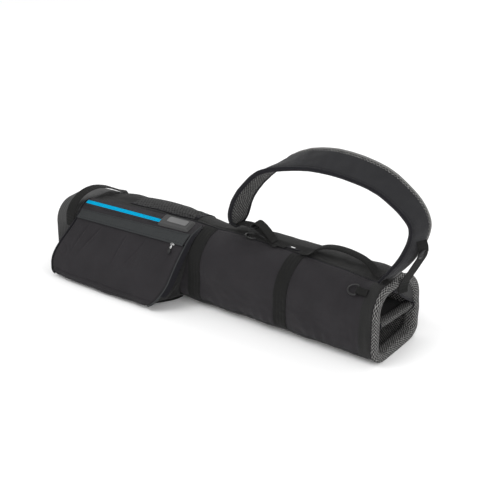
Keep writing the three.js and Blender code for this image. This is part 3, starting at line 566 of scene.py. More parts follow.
MATERIALS = {
    "front_fabric": woven("front_fabric", "front_fabric"),
    "dark_fabric": woven("dark_fabric", "dark_fabric", contrast=0.35),
    "floor_fabric": woven("floor_fabric", "dark_fabric", colour=COLOURS["floor_fabric"]),
    "webbing": ribbed("webbing", "webbing", 0.0021, cross=0.004),
    "binding": ribbed("binding", "binding", 0.0013, roughness=0.62, sheen=0.08),
    "strap_fabric": woven("strap_fabric", "strap_fabric", pitch=0.0008, roughness=0.6, sheen=0.08,
                          depth=0.0002, contrast=0.25),
    "mesh": spacer_mesh("mesh", (0.3, 0.296, 0.29), pitch=0.0042, hole=0.46),
    # strap_mesh is the cuff's light spacer mesh painted darker: painted shade for the strap's underside
    # lining and the divider pad, which lie in shade
    "strap_mesh": spacer_mesh("strap_mesh", (0.2, 0.198, 0.194), pitch=0.0042, hole=0.46),
    "dark_mesh": spacer_mesh("dark_mesh", (0.055, 0.055, 0.055), pitch=0.003),
    "pocket_mesh": spacer_mesh("pocket_mesh", (0.042, 0.042, 0.042), pitch=0.0058, turn=0.35),
    "knit": ribbed("knit", "mesh", 0.0036, depth=0.0007, contrast=1.1,
                   colour=shade(COLOURS["mesh"], 0.42)),
    "grosgrain": ribbed("grosgrain", "grosgrain", 0.0026, contrast=0.55),
    "blue_tape": zip_tape("blue_tape"),
    "rubber": moulded("rubber", "rubber", 0.55),
    "plate": moulded("plate", "plate", 0.42, depth=0.00005),
    "plastic": moulded("plastic", "plastic", 0.5, specular=0.25),
    "base_plastic": moulded("base_plastic", "base_plastic", 0.55),
    "nickel": moulded("nickel", "nickel", 0.26, metallic=1.0, depth=0.00003),
    "black_wire": moulded("black_wire", "black_wire", 0.3, depth=0.00004, specular=0.4),
    "label": woven("label", "plate", colour=COLOURS["label"], pitch=0.0007, sheen=0.1),
}


def finish_piece(obj, look, body="bag", replaces=()):
    """Gives a piece its material and slot, and the body it rides on unless that is None."""
    obj.data.materials.append(MATERIALS[look])
    if body:
        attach(obj, body)
    if replaces:
        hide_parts(*replaces)
    return obj


# ------------------------------------------------------------------ base cup

def build_base():
    turns = np.arange(0, 8, 8 / 112)
    ribs, pitch, depth = 12, 5.2, 1.0
    disc = [0.04, 0.3, 0.55, 0.8, 0.95, 1.0]
    outer, inner = [], []
    rim = skin(0.0, turns, -3.0)
    centre = rim.mean(0)
    for share in disc:
        dish = 1.2 * (1 - share) + 0.5 * math.sin(share * 9)
        outer.append(centre + (rim - centre) * share + [dish, 0, 0])
        inner.append(centre + (rim - centre) * min(share, 0.97) + [BASE_WALL + 1, 0, 0])
    for x in np.linspace(0.8, BASE_CUP_LENGTH, 140):
        corner = 3 * (1 - math.sqrt(1 - max(0, 1 - x / 4) ** 2))
        wave_at = (x - 3) / pitch
        rib = depth * math.cos(2 * math.pi * wave_at) ** 3 if 0 < wave_at < ribs else 0
        outer.append(skin(x, turns, rib - corner))
        inner.append(skin(max(x, BASE_WALL + 1.5), turns, -BASE_WALL))
    cup = shell("base_shell", np.array(outer), np.array(inner), loop=True, capped=True)
    finish_piece(cup, "base_plastic", replaces=["base_cup"])


# ------------------------------------------------------------------ tube

def wall_grid(x_range, turn_range, lift, count_x, count_turn):
    x, turn = np.meshgrid(np.linspace(*x_range, count_x), np.linspace(*turn_range, count_turn),
                          indexing="ij")
    height = lift(x, turn) if callable(lift) else lift
    return skin(x, turn, height)


def wall_shell(name, x_range, turn_range, lift, thickness, counts):
    outer = wall_grid(x_range, turn_range, lift, *counts)
    inner = wall_grid(x_range, turn_range, lambda x, t: lift(x, t) - thickness, *counts)
    return shell(name, outer, inner)


def build_skins():
    panels = [
        ("front_skin", LOWER_SEAM, UPPER_SEAM, "front_fabric", "front_panel"),
        ("spine_skin", UPPER_SEAM, BACK_SEAM, "dark_fabric", "spine_panel"),
        ("back_skin", BACK_SEAM, FLOOR_SEAM, "dark_fabric", "back_panel"),
        ("floor_skin", FLOOR_SEAM - 8, LOWER_SEAM, "floor_fabric", "floor_panel"),
    ]
    for name, start, end, look, node in panels:
        piece = wall_shell(name, (SKIN_START, SKIN_END), (start, end), skin_lift, 2.4, (330, 56))
        finish_piece(piece, look, replaces=[node])


def surface_line(x, turn, lift=0.0):
    """Points on the cloth along a line, and which way is out of it."""
    x, turn = np.broadcast_arrays(np.asarray(x, float), np.asarray(turn, float))
    height = skin_lift(x, turn) + lift
    points = skin(x, turn, height)
    return points, unit(skin(x, turn, height + 1) - points)


def build_seams():
    seams = [("upper_seam", SKIN_START + 1, UPPER_SEAM, "upper_piping", 1.5),
             ("back_seam", 362, BACK_SEAM, "back_piping", 2.0),
             ("lower_seam", 402, LOWER_SEAM, "lower_piping", 2.2)]
    for name, start, turn, node, width in seams:
        half = width / 2 / 40

        def lift(x, t, turn=turn, half=half):
            return skin_lift(x, t) + 0.9 * np.sqrt(np.clip(1 - ((t - turn) / half) ** 2, 0, 1)) + 0.15

        piece = wall_shell(name, (start, 851), (turn - half, turn + half), lift, 0.8, (260, 6))
        finish_piece(piece, "binding", replaces=[node])
    x = np.linspace(SKIN_START + 4, 850, 500)
    rows = [("seam_stitches_upper_a", UPPER_SEAM - 0.075), ("seam_stitches_upper_b", UPPER_SEAM + 0.075),
            ("seam_stitches_lower", LOWER_SEAM + 0.1)]
    for name, turn in rows:
        line = surface_line(x, turn)
        finish_piece(stitches(name, *line, length=4.2, gap=2.4, width=0.7), "binding")


def build_bands():
    for name, start in BANDS.items():
        turns = (LOWER_SEAM + 0.04, UPPER_SEAM - 0.04)

        def lift(x, t, start=start):
            edge = np.minimum(x - start, start + BAND_WIDTH - x)
            return skin_lift(x, t) + 1.5 + 0.35 * ramp(edge, 0, 2) - 0.25 * bump(edge, 3.5, 0.8)

        piece = wall_shell(name + "_webbing", (start, start + BAND_WIDTH), turns, lift, 1.4, (32, 90))
        finish_piece(piece, "webbing", replaces=[name])
        turn = np.linspace(turns[0], turns[1], 160)
        for side, offset in (("near", 3.5), ("far", BAND_WIDTH - 3.5)):
            line = surface_line(np.full_like(turn, start + offset), turn, 1.6)
            finish_piece(stitches(f"{name}_stitches_{side}", *line), "binding")


# ------------------------------------------------------------------ mouth

def build_mouth_hem():
    """The stitched-down turn of cloth next to the mouth roll."""
    hem = wall_shell("mouth_hem", (826, 853), (LOWER_SEAM + 0.05, UPPER_SEAM - 0.05),
                     lambda x, t: skin_lift(x, t) + 0.7, 0.8, (24, 80))
    finish_piece(hem, "dark_fabric")
    turn = np.linspace(LOWER_SEAM + 0.08, UPPER_SEAM - 0.08, 200)
    line = surface_line(np.full_like(turn, 829.0), turn, 0.7)
    finish_piece(stitches("mouth_hem_stitches", *line), "binding")


def rounded_ring(points, rounds=2):
    """A closed outline with its corners cut smooth."""
    outline = np.array(points, float)
    for _ in range(rounds):
        following = np.roll(outline, -1, 0)
        outline = np.stack([outline * 0.75 + following * 0.25, outline * 0.25 + following * 0.75], 1)
        outline = outline.reshape(-1, outline.shape[-1])
    return outline


def build_mouth():
    turns = np.arange(0, 8, 8 / 240)
    profile = rounded_ring([(854.8, -3.4), (855, 0.6), (859, 1.6), (864.5, 0.4), (866, -6), (866, -13),
                            (863, -18.6), (856, -20), (844, -20), (837.5, -18), (836.8, -12),
                            (837, -6.8), (845, -6.6), (853, -6.4)])
    rings = []
    for turn in turns:
        around = round_distance(turn)
        soft = 0.5 * ripple(around, 0 * around, 60, 21)
        rings.append([skin(x + soft * 0.6, turn, lift + soft) for x, lift in profile])
    roll = sweep("mouth_cuff", rings, looped=True)
    finish_piece(roll, "mesh", replaces=["mouth_roll"])
    lining_end = MOUTH_ROLL_START - 0.4
    lining = wall_ring("mouth_lining", np.linspace(lining_end - LINING_LENGTH, lining_end, 30), turns,
                       lambda x, t: -6.0 + 0.4 * ripple(x, round_distance(t), 40, 22), 2.0)
    finish_piece(lining, "mesh", replaces=["tube_lining"])


def wall_ring(name, xs, turns, lift, thickness):
    x, turn = np.meshgrid(xs, turns, indexing="ij")
    return shell(name, skin(x, turn, lift(x, turn)), skin(x, turn, lift(x, turn) - thickness), loop=True)


DIVIDER_FRONT = np.array([851.0, 22.0, 91.0])
DIVIDER_BACK = np.array([851.0, 163.0, 79.0])


def build_divider():
    across = unit(DIVIDER_BACK - DIVIDER_FRONT)
    up = np.cross([1.0, 0, 0], across)
    corner = rounded_ring([(-11, -7.5), (9, -7.5), (11.5, -3), (11.5, 3), (9, 7.5), (-11, 7.5)])
    rings = []
    for t in np.linspace(0, 1, 48):
        centre = DIVIDER_FRONT * (1 - t) + DIVIDER_BACK * t + up * (-1.6 * math.sin(math.pi * t))
        size = 1 - 0.22 * t + 0.03 * math.sin(t * 23)
        rings.append([centre + [dx, 0, 0] + up * dz * size for dx, dz in corner])
    # the divider pad takes the darker copy of the mesh: painted shade inside the mouth
    bar = finish_piece(sweep("divider_pad", rings), "strap_mesh", replaces=["divider_bar"])
    x, t = np.meshgrid(np.linspace(839 - LINING_LENGTH, 839.5, 24), np.linspace(0.02, 0.98, 40),
                       indexing="ij")
    line = DIVIDER_FRONT + (DIVIDER_BACK - DIVIDER_FRONT) * t[..., None]
    line[..., 0] = x
    sag = 2.2 * np.sin(math.pi * t) + 0.5 * ripple(x, t * 140, 50, 31)
    line = line - up * sag[..., None]
    cloth = shell("divider_cloth", line + up * 1.1, line - up * 1.1)
    finish_piece(cloth, "dark_mesh", replaces=["divider_sheet"])
    for name, end, out in (("divider_end_front", DIVIDER_FRONT, -across),
                           ("divider_end_back", DIVIDER_BACK, across)):
        outline = rounded_ring([(-9, -9.5), (13.5, -9.5), (13.5, 9.5), (-9, 9.5)], 3)
        rings = [[end + out * o + [dx * s, 0, 0] + up * dz * s for dx, dz in outline]
                 for o, s in ((-3.5, 1.0), (-2.8, 1.05), (0.4, 1.06), (1.3, 1.0))]
        node = name.replace("end", "tab")
        finish_piece(sweep(name, rings), "binding", replaces=[node])


def build_corner_web():
    depth, plane, count = 4.4, 855.2, 30
    edge = spline([[0, 78, 151], [0, 98, 139], [0, 124, 118], [0, 147, 101], [0, 160, 92]], count)[:, 1:]
    rim = skin(plane, np.linspace(4.62, 5.8, count), -18.5)[:, 1:]
    share = np.linspace(0, 1, 9)[:, None, None]
    sheet_yz = edge[None] * (1 - share) + rim[None] * share
    bulge = 1.2 * np.sin(math.pi * share[..., 0]) * np.ones(len(edge))
    face_x = np.full(sheet_yz.shape[:2] + (1,), plane + depth) + bulge[..., None]
    front = np.concatenate([face_x, sheet_yz], -1)
    back = front - [depth, 0, 0]
    finish_piece(shell("corner_mesh", front, back), "dark_mesh", replaces=["corner_web"])
    path = np.c_[np.full(count, plane + depth / 2 + 0.6), edge[:, 0] - 0.4, edge[:, 1] - 1.2]
    down = np.tile([0.0, -0.6, -0.8], (count, 1))
    bound = cable("corner_bound_edge", path, 4.3, sides=14, flatten=0.75, outward=down)
    finish_piece(bound, "binding", replaces=["corner_binding"])


# ------------------------------------------------------------------ front pocket

def pocket_line():
    """The pocket's cut, evenly spaced, with its direction."""
    rows = np.c_[np.zeros(len(POCKET_CUT)), POCKET_CUT]
    points = spline(rows, 400)[:, 1:]
    return points, unit(np.gradient(points, axis=0))


POCKET_POINTS, POCKET_TANGENTS = pocket_line()
POCKET_LENGTH = float(np.linalg.norm(np.diff(POCKET_POINTS, axis=0), axis=1).sum())
SEAM_MIDDLE = skin((POCKET_LEFT + POCKET_RIGHT) / 2, UPPER_SEAM)


def pocket(x, v, lift=0.0):
    """A point of the pocket's front, x along it and v down it, lifted off it."""
    x, v, lift = np.broadcast_arrays(
        np.asarray(x, float), np.asarray(v, float), np.asarray(lift, float))
    run = np.linspace(0, 1, len(POCKET_POINTS))
    across_share = (x - POCKET_LEFT) / (POCKET_RIGHT - POCKET_LEFT)
    v = v + np.interp(v, SLANT_AT, SLANT) * (0.5 - np.clip(across_share, 0, 1))
    y, z = (np.interp(v, run, POCKET_POINTS[:, k]) for k in (0, 1))
    ty, tz = (np.interp(v, run, POCKET_TANGENTS[:, k]) for k in (0, 1))
    seam = skin(x, UPPER_SEAM)
    follow = np.clip(1 - v / SEAM_SHARE, 0, 1) ** 2
    return np.stack([x, y + follow * (seam[..., 1] - SEAM_MIDDLE[1]) + lift * tz,
                     z + follow * (seam[..., 2] - SEAM_MIDDLE[2]) - lift * ty], -1)


def pocket_edges(v):
    left = POCKET_LEFT + (30 - POCKET_LEFT) * ramp(v, 0.25, 0.9)
    right = POCKET_RIGHT + (354 - POCKET_RIGHT) * v
    turned = np.clip((v - 0.66) / 0.34, 0, 1)
    drop = 1 - np.sqrt(np.clip(1 - turned * turned, 0, 1))
    return left + 42 * drop, right - 76 * drop


def pocket_grid(v_range, lift, counts, edges=pocket_edges, inset=0.0):
    share, v = np.meshgrid(np.linspace(0, 1, counts[0]), np.linspace(*v_range, counts[1]), indexing="ij")
    left, right = edges(v)
    x = left + inset + (right - left - 2 * inset) * share
    height = lift(x, v) if callable(lift) else lift
    return pocket(x, v, height)


def pocket_shell(name, v_range, lift, thickness, counts, edges=pocket_edges, inset=0.0):
    high = lift if callable(lift) else (lambda x, v: lift + 0 * x)
    outer = pocket_grid(v_range, high, counts, edges, inset)
    inner = pocket_grid(v_range, lambda x, v: high(x, v) - thickness, counts, edges, inset)
    return shell(name, outer, inner)


def panel_lift(x, v):
    """Folds of the pocket's main panel: they run down from the storm flap and die out."""
    down = v * POCKET_LENGTH
    fade = ramp(v, MAIN_TOP, 0.42) * (1 - ramp(v, 0.5, 0.78))
    left_side = 1 - 0.75 * ramp(x, 180, 330)
    slanted = x + 0.45 * (down - 85)
    folds = crease(slanted, down / 6, 62, 41) + 0.4 * ripple(slanted, down / 5, 44, 42)
    corner = bump(x, 62, 22) * bump(v, 0.72, 0.16) * crease(x * 1.4 - 0.5 * down, down, 60, 43)
    soft = 0.8 * ripple(x, down, 80, 44)
    seam = -2.0 * bump(v, 0.885, 0.009) - 2.0 * bump(v, 0.925, 0.009)
    left, right = pocket_edges(v)
    edge = np.minimum(x - left, right - x)
    rounded = -2.2 * (1 - ramp(edge, 0, 6)) + 2.2 * ramp(edge, 4, 60) * ramp(v, 0.4, 0.6)
    soft = soft * ramp(edge, 0, 25) * ramp(v, 0.355, 0.43)
    return 1.7 * fade * left_side * folds + corner + soft + seam + rounded


def flap_lift(x, v):
    edge = ramp(v, FLAP_BOTTOM - 0.012, FLAP_BOTTOM)
    body = 1.6 + 3.4 * ramp(v, FLAP_TOP + 0.02, FLAP_BOTTOM)
    return body - 0.9 * edge + 0.35 * ripple(x, v * 400, 30, 45) - 0.5 * bump(v, FLAP_TOP + 0.008, 0.004)


def zip_edges(end):
    """Straight ends for a strip along the upper zip, which stops at end."""
    return lambda v: (0 * v + POCKET_LEFT + 3.5, 0 * v + end)


def pocket_stitches(name, x, v, face, look="binding", **thread):
    """A row of stitches across the pocket at v, on the face whose height is given."""
    height = face(x, np.full_like(x, v))
    points = pocket(x, v, height)
    normals = unit(pocket(x, v, height + 1) - points)
    finish_piece(stitches(name, points, normals, **thread), look)


def build_pocket():
    def yoke_lift(x, v):
        return 0.5 * ripple(x, v * POCKET_LENGTH, 45, 46) * ramp(v, POCKET_TOP, 0.1)

    yoke = pocket_shell("pocket_yoke_cloth", (POCKET_TOP, YOKE_BOTTOM), yoke_lift, 2.2, (150, 30))
    finish_piece(yoke, "front_fabric", replaces=["pocket_yoke"])
    main = pocket_shell("pocket_front_cloth", (MAIN_TOP, 1.0), panel_lift, 2.2, (190, 130))
    finish_piece(main, "front_fabric", replaces=["pocket_main_panel"])
    tape = pocket_shell("lower_zip", (YOKE_BOTTOM + 0.002, MAIN_TOP - 0.001),
                        lambda x, v: -0.9 + 1.1 * bump(v, LOWER_ZIP - 0.008, 0.007), 1.2,
                        (120, 12), inset=2)
    finish_piece(tape, "binding", replaces=["lower_zip_tape"])
    flap = pocket_shell("storm_flap_band", (FLAP_TOP, FLAP_BOTTOM), flap_lift, 1.3, (190, 26), inset=2.5)
    finish_piece(flap, "grosgrain", replaces=["storm_flap"])
    half = 5.4 / POCKET_LENGTH

    def zip_lift(x, v):
        off = np.abs(v - UPPER_ZIP) * POCKET_LENGTH
        teeth = 0.5 * bump(off, 1.1, 0.75) * (0.75 + 0.25 * np.sin(x * 2 * math.pi / 1.9))
        return 1.15 + teeth - 0.35 * bump(off, 3.3, 0.5) - 0.3 * ramp(off, 4.6, 5.4)

    blue = pocket_shell("upper_zip", (UPPER_ZIP - half, UPPER_ZIP + half), zip_lift, 0.9, (560, 24),
                        zip_edges(336))
    finish_piece(blue, "blue_tape", replaces=["upper_zip_tape"])
    build_zip_lines(half)
    build_pocket_trim()
    build_pocket_sides()
    build_badge()


def build_zip_lines(half):
    """Dark stitching along the zip's coil, and the cloth's folded lips above and below it."""
    x = np.linspace(POCKET_LEFT + 5, 334, 300)
    for name, offset in (("zip_stitches_upper", -1.9), ("zip_stitches_lower", 1.9)):
        pocket_stitches(name, x, UPPER_ZIP + offset / POCKET_LENGTH, lambda x, v: 1.5 + 0 * x,
                        "plastic", length=2.2, gap=1.6, width=0.42)
    for name, side in (("zip_lip_upper", -1), ("zip_lip_lower", 1)):
        start = UPPER_ZIP + side * (half + 0.001)
        end = start + side * 0.016

        def lift(x, v, start=start):
            return 0.7 + 0.9 * (1 - ramp(np.abs(v - start), 0.0, 0.016))

        lip = pocket_shell(name, tuple(sorted((start, end))), lift, 0.9, (90, 6), zip_edges(337))
        finish_piece(lip, "front_fabric")


def pocket_edge_line(side, margin, v_range, lift, count=90):
    v = np.linspace(*v_range, count)
    outwards = -1 if side == 0 else 1
    step = 0.005
    slope = (pocket_edges(v + step)[side] - pocket_edges(v - step)[side]) / (2 * step * POCKET_LENGTH)
    out = outwards * margin / np.hypot(1, slope)
    return pocket(pocket_edges(v)[side] + out, v - out * slope / POCKET_LENGTH, lift)


def build_pocket_trim():
    for name, side, top in (("left", 0, 0.075), ("right", 1, 0.06)):
        path = pocket_edge_line(side, 1.6, (top, 0.945), -1.4)
        piping = cable(f"pocket_edge_{name}", path, 2.3, sides=12)
        finish_piece(piping, "binding" if side == 0 else "grosgrain", replaces=[f"pocket_piping_{name}"])
    x = np.linspace(52, 318, 300)
    for name, v in (("hem_stitches_a", 0.885), ("hem_stitches_b", 0.925)):
        pocket_stitches(name, x, v, panel_lift, lift=0.5)
    x = np.linspace(POCKET_LEFT + 6, POCKET_RIGHT - 14, 300)
    for name, v in (("flap_stitches_top", FLAP_TOP + 0.012), ("flap_stitches_low", FLAP_BOTTOM - 0.018)):
        pocket_stitches(name, x, v, flap_lift, length=4.2, gap=2.6, width=0.8)


def build_gusset(name, side, start_v, node):
    """A pleated side between the pocket's front and the tube."""
    s, t = np.meshgrid(np.linspace(0, 1, 60), np.linspace(0, 1, 26), indexing="ij")
    v = start_v + (0.95 - start_v) * s
    edge_x = pocket_edges(v)[0 if side < 0 else 1]
    edge = pocket(edge_x, v, -2.6)
    wall_x = (POCKET_LEFT + 10) + 0 * s if side < 0 else POCKET_RIGHT + 5 - 34 * s
    wall = skin(wall_x, 3.4 - 2.05 * s, 1.5)
    line = edge * (1 - t[..., None]) + wall * t[..., None]
    around = np.linalg.norm(wall - edge, axis=-1)
    folds = (crease(t * around * 1.2 + 26 * s, s * 60, 24, 51 + side) * 2.2 + 1.6 * ripple(
        t * around, s * 120, 30, 53 + side)) * np.sin(math.pi * t) ** 0.6
    tuck = -7 * np.sin(math.pi * t) * np.sin(math.pi * np.clip(s, 0, 1)) ** 0.7
    line[..., 0] += side * (tuck + folds)
    line[..., 2] = np.maximum(line[..., 2], 2.6)
    inner = line.copy()
    inner[..., 0] -= side * 1.8
    finish_piece(shell(name, line, inner), "dark_fabric", replaces=[node])


def build_pocket_sides():
    build_gusset("pocket_side_left", -1, 0.3, "pocket_gusset_left")
    build_gusset("pocket_side_right", 1, 0.36, "pocket_gusset_right")
    s, t = np.meshgrid(np.linspace(0, 1, 70), np.linspace(0, 1, 10), indexing="ij")
    v = 0.07 + 0.74 * s
    edge = pocket(pocket_edges(v)[1] + 3.6, v, -0.4)
    wall = skin(POCKET_RIGHT + 10, 3.8 - 2.1 * s, 3.0)
    away = wall - edge
    reach = np.minimum(7.0, np.linalg.norm(away, axis=-1) * 0.7)[..., None]
    strip = edge + unit(away) * reach * t[..., None]
    strip[..., 0] += 6 * t * np.minimum(1, 4 * s) + 1.0 * np.sin(math.pi * t)
    normal = unit(np.cross(np.gradient(strip, axis=0), np.gradient(strip, axis=1)))
    outer = strip + normal * np.sign(normal[35, 5, 0]) * 0.7
    inner = strip - normal * np.sign(normal[35, 5, 0]) * 0.7
    finish_piece(shell("pocket_side_band", outer, inner), "binding", replaces=["pocket_edge_strip"])
    s, t = np.meshgrid(np.linspace(0, 1, 60), np.linspace(0, 1, 20), indexing="ij")
    front = pocket(200.0, 1.0)[1] + 2
    right = 300 + 48 * np.sin(t * math.pi / 2)
    bottom = np.stack([56 + (right - 56) * s, front + (24 - front) * t,
                       1.9 + 0.5 * (1 + ripple(s * 240, t * 80, 40, 55)) * np.sin(math.pi * t)], -1)
    base = shell("pocket_base_cloth", bottom + [0, 0, 0.7], bottom - [0, 0, 0.7])
    finish_piece(base, "floor_fabric", replaces=["pocket_floor"])


def badge_layer(name, look, node, x_range, v_range, radius, round_share, height, thickness, counts):
    """A plate with rounded corners; height gives its face by the distance from its edge."""
    middle = sum(v_range) / 2
    half = (v_range[1] - v_range[0]) / 2

    def edges(v):
        out = np.clip(np.abs(v - middle) / half, 0, 1)
        turned = np.clip((out - 1 + round_share) / round_share, 0, 1)
        cut_in = radius * (1 - np.sqrt(1 - turned ** 2))
        return x_range[0] + cut_in, x_range[1] - cut_in

    def lift(x, v):
        down = (1 - np.abs(v - middle) / half) * half * POCKET_LENGTH
        left, right = edges(v)
        return height(np.minimum(np.minimum(x - left, right - x), down))

    piece = pocket_shell(name, v_range, lift, thickness, counts, edges)
    finish_piece(piece, look, replaces=[node])


def build_badge():
    """A soft rubber patch with a raised rim, and a plain plate in it."""
    def patch_height(edge):
        return 1.1 + 5.0 * ramp(edge, -0.5, 5) + 0.7 * bump(edge, 5.5, 1.6)

    def plate_height(edge):
        return 6.6 + 0.8 * ramp(edge, 0, 1.4)

    badge_layer("badge_pad", "rubber", "badge_patch", (279, 362), (0.049, 0.205), 5, 0.25,
                patch_height, 1.2, (80, 44))
    badge_layer("badge_insert", "plate", "badge_plate", (298, 350), (0.082, 0.148), 3.5, 0.4,
                plate_height, 0.9, (60, 26))


# ------------------------------------------------------------------ mesh pocket on the back

def build_mesh_pocket():
    turns = (4.36, 6.6)
    start, end = MESH_POCKET

    def lift(x, t):
        s = np.clip((x - start) / (end - start), 0, 1)
        r = np.clip((t - turns[0]) / (turns[1] - turns[0]), 0, 1)
        swell = 6.5 * np.sqrt(np.sin(math.pi * s) * np.sin(math.pi * r) + 1e-6)
        folds = 1.1 * ripple(x * 0.35, round_distance(t), 24, 61) * ramp(s, 0.35, 0.95)
        return 1.2 + swell + folds * np.sin(math.pi * r) * ramp(1 - s, 0, 0.1) + skin_lift(x, t) * 0.3

    net = wall_shell("mesh_pocket_net", (start, end), turns, lift, 1.0, (90, 110))
    finish_piece(net, "pocket_mesh", replaces=["mesh_pocket"])

    def hem_lift(x, t):
        gathers = 0.5 * ripple(0 * x, round_distance(t), 9, 62)
        return 1.5 + gathers + skin_lift(x, t) * 0.9

    hem = wall_shell("mesh_pocket_edge", (end - 1.5, end + 9), turns, hem_lift, 2.0, (10, 130))
    finish_piece(hem, "binding", replaces=["mesh_pocket_hem"])
    for name, turn in (("mesh_pocket_side_top", turns[0]), ("mesh_pocket_side_back", turns[1])):
        side = wall_shell(name, (start - 2, end + 9), (turn - 0.05, turn + 0.05),
                          lambda x, t: skin_lift(x, t) + 2.2, 1.4, (70, 5))
        finish_piece(side, "binding")


# ------------------------------------------------------------------ shoulder strap


def strap_piece(obj, look, replaces=()):
    finish_piece(obj, look, body=None, replaces=replaces)
    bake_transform(obj)
    return obj


def pad_half_width(t):
    opened = np.clip(t / 0.055, 0, 1)
    left_end = np.minimum(1, np.sqrt(opened * (2 - opened)) * 0.62 + 0.38)
    right_end = 1 - 0.42 * ramp(t, 0.72, 0.93)
    return PAD_WIDTH / 2 * np.minimum(left_end, right_end)


def pad_half_thickness(t):
    return 5.6 * (1 - 0.6 * ramp(t, 0.9, 1.0)) * (0.75 + 0.25 * ramp(t, 0, 0.03))


def pad_point(s, across_share, side):
    """Point on the pad's outer (side 1) or inner (side -1) face."""
    points, across, normal = PAD_FRAMES
    i = np.clip(s * (len(points) - 1), 0, len(points) - 1)
    low = np.clip(np.floor(i).astype(int), 0, len(points) - 2)
    f = (i - low)[..., None]
    p, a, n = (v[low] * (1 - f) + v[low + 1] * f for v in (points, across, normal))
    half = pad_half_width(s)[..., None]
    crown = (1 - 0.55 * np.abs(across_share) ** 3)[..., None]
    length = s * 760
    dimple = 0.35 * ripple(length, across_share * 30, 32, 71 + side)
    thick = pad_half_thickness(s)[..., None] * crown + dimple[..., None]
    return p + a * half * across_share[..., None] + n * thick * side


def pad_frames():
    rows = spline(PAD_PATH, PAD_STEPS)
    return frames_along(rows[:, :3], rows[:, 3:])


FAR_BINDING_START = 0.3
PAD_FRAMES = pad_frames()


def build_strap():
    s, c = np.meshgrid(np.linspace(0, 1, 300), np.linspace(-0.9, 0.9, 30), indexing="ij")
    outer, inner = pad_point(s, c, 1), pad_point(s, c, -1)
    middle = (outer + inner) / 2
    cover_edge = 0.62
    last = int(np.argmax(c[0] >= cover_edge))
    cover_shell = shell("strap_cover", outer[:, :last + 1], middle[:, :last + 1])
    strap_piece(cover_shell, "strap_fabric", replaces=["strap_pad", "strap_foot"])
    edge_shell = shell("strap_edge_mesh", outer[:, last:], middle[:, last:])
    strap_piece(edge_shell, "mesh")
    lining = shell("strap_lining", middle - (middle - inner) * 0.02, inner)
    # the lining under the strap takes the darker copy of the mesh: painted shade on the strap's underside
    strap_piece(lining, "strap_mesh", replaces=["strap_mesh"])
    build_strap_binding()


def build_strap_binding():
    points, across, normal = PAD_FRAMES
    s = np.linspace(0, 1, 220)
    near = (pad_point(s, np.full_like(s, -0.9), 1) + pad_point(s, np.full_like(s, -0.9), -1)) / 2
    far = (pad_point(s, np.full_like(s, 0.9), 1) + pad_point(s, np.full_like(s, 0.9), -1)) / 2
    arc = np.linspace(0, math.pi, 16)[1:-1]
    left_mid, left_half = (near[0] + far[0]) / 2, (far[0] - near[0]) / 2
    back = -unit(points[1] - points[0]) * 7
    left = [left_mid + left_half * math.cos(a) + back * math.sin(a) for a in arc]
    rest = far[s < FAR_BINDING_START]
    outline = np.concatenate([near[::-1], np.array(left)[::-1], rest])
    where = np.r_[s[::-1], np.zeros(len(left)), s[s < FAR_BINDING_START]]
    index = (where * (len(points) - 1)).astype(int)
    along = unit(np.gradient(outline, axis=0))
    up = normal[index]
    out = unit(np.cross(along, up))
    thin = 1 - 0.45 * ramp(where, 0.88, 1.0)
    profile = rounded_ring([(-5.0, -5.4), (1.2, -5.2), (3.2, -2.4), (3.2, 2.4), (1.2, 5.2), (-5.0, 5.4)])
    rings = [[p + out[i] * a * thin[i] + up[i] * b * thin[i] for a, b in profile]
             for i, p in enumerate(outline)]
    strap_piece(sweep("strap_binding", rings), "binding")
    on_far = s > FAR_BINDING_START - 0.01
    taper = 1 - 0.45 * ramp(s[on_far], 0.88, 1.0)
    outward = unit(far - near)[on_far]
    far_normal = normal[(s[on_far] * (len(points) - 1)).astype(int)]
    edge = [[p + outward[i] * a * taper[i] * 0.6 + far_normal[i] * b * taper[i] for a, b in profile]
            for i, p in enumerate(far[on_far])]
    strap_piece(sweep("strap_far_binding", edge), "knit")
    for name, offset in (("strap_stitches_near", -0.76), ("strap_stitches_far", 0.76)):
        t = np.linspace(0.03, 0.93, 420)
        line = pad_point(t, np.full_like(t, offset), 1)
        normals = normal[(t * (len(points) - 1)).astype(int)]
        strap_piece(stitches(name, line + normals * 0.3, normals), "binding")


def slotted_buckle(name, node, centre, along, normal, length, width, thickness, bars):
    """A buckle on the strap: a rounded frame whose cross bars are rounded rods."""
    z = unit(np.array(normal, float))
    x = np.array(along, float)
    x = unit(x - z * (x @ z))
    y = np.cross(z, x)
    centre = np.array(centre, float)
    outline = rounded_ring([(-length / 2, -width / 2), (length / 2, -width / 2),
                            (length / 2, width / 2), (-length / 2, width / 2)], 3)
    path = [centre + x * a * 0.86 + y * b * 0.92 for a, b in outline]
    out = [x * a + y * b for a, b in outline]
    rim = cable(name, path, thickness / 2, looped=True, outward=np.array(out), flatten=1.1)
    strap_piece(rim, "plastic", replaces=[node])
    half = width / 2 * 0.9
    for i, at in enumerate(bars):
        line = [centre + x * at + y * half * q + z * 0.5 * (1 - q * q) for q in np.linspace(-1, 1, 12)]
        strap_piece(cable(f"{name}_bar_{i + 1}", line, thickness / 2 * 0.9), "plastic")


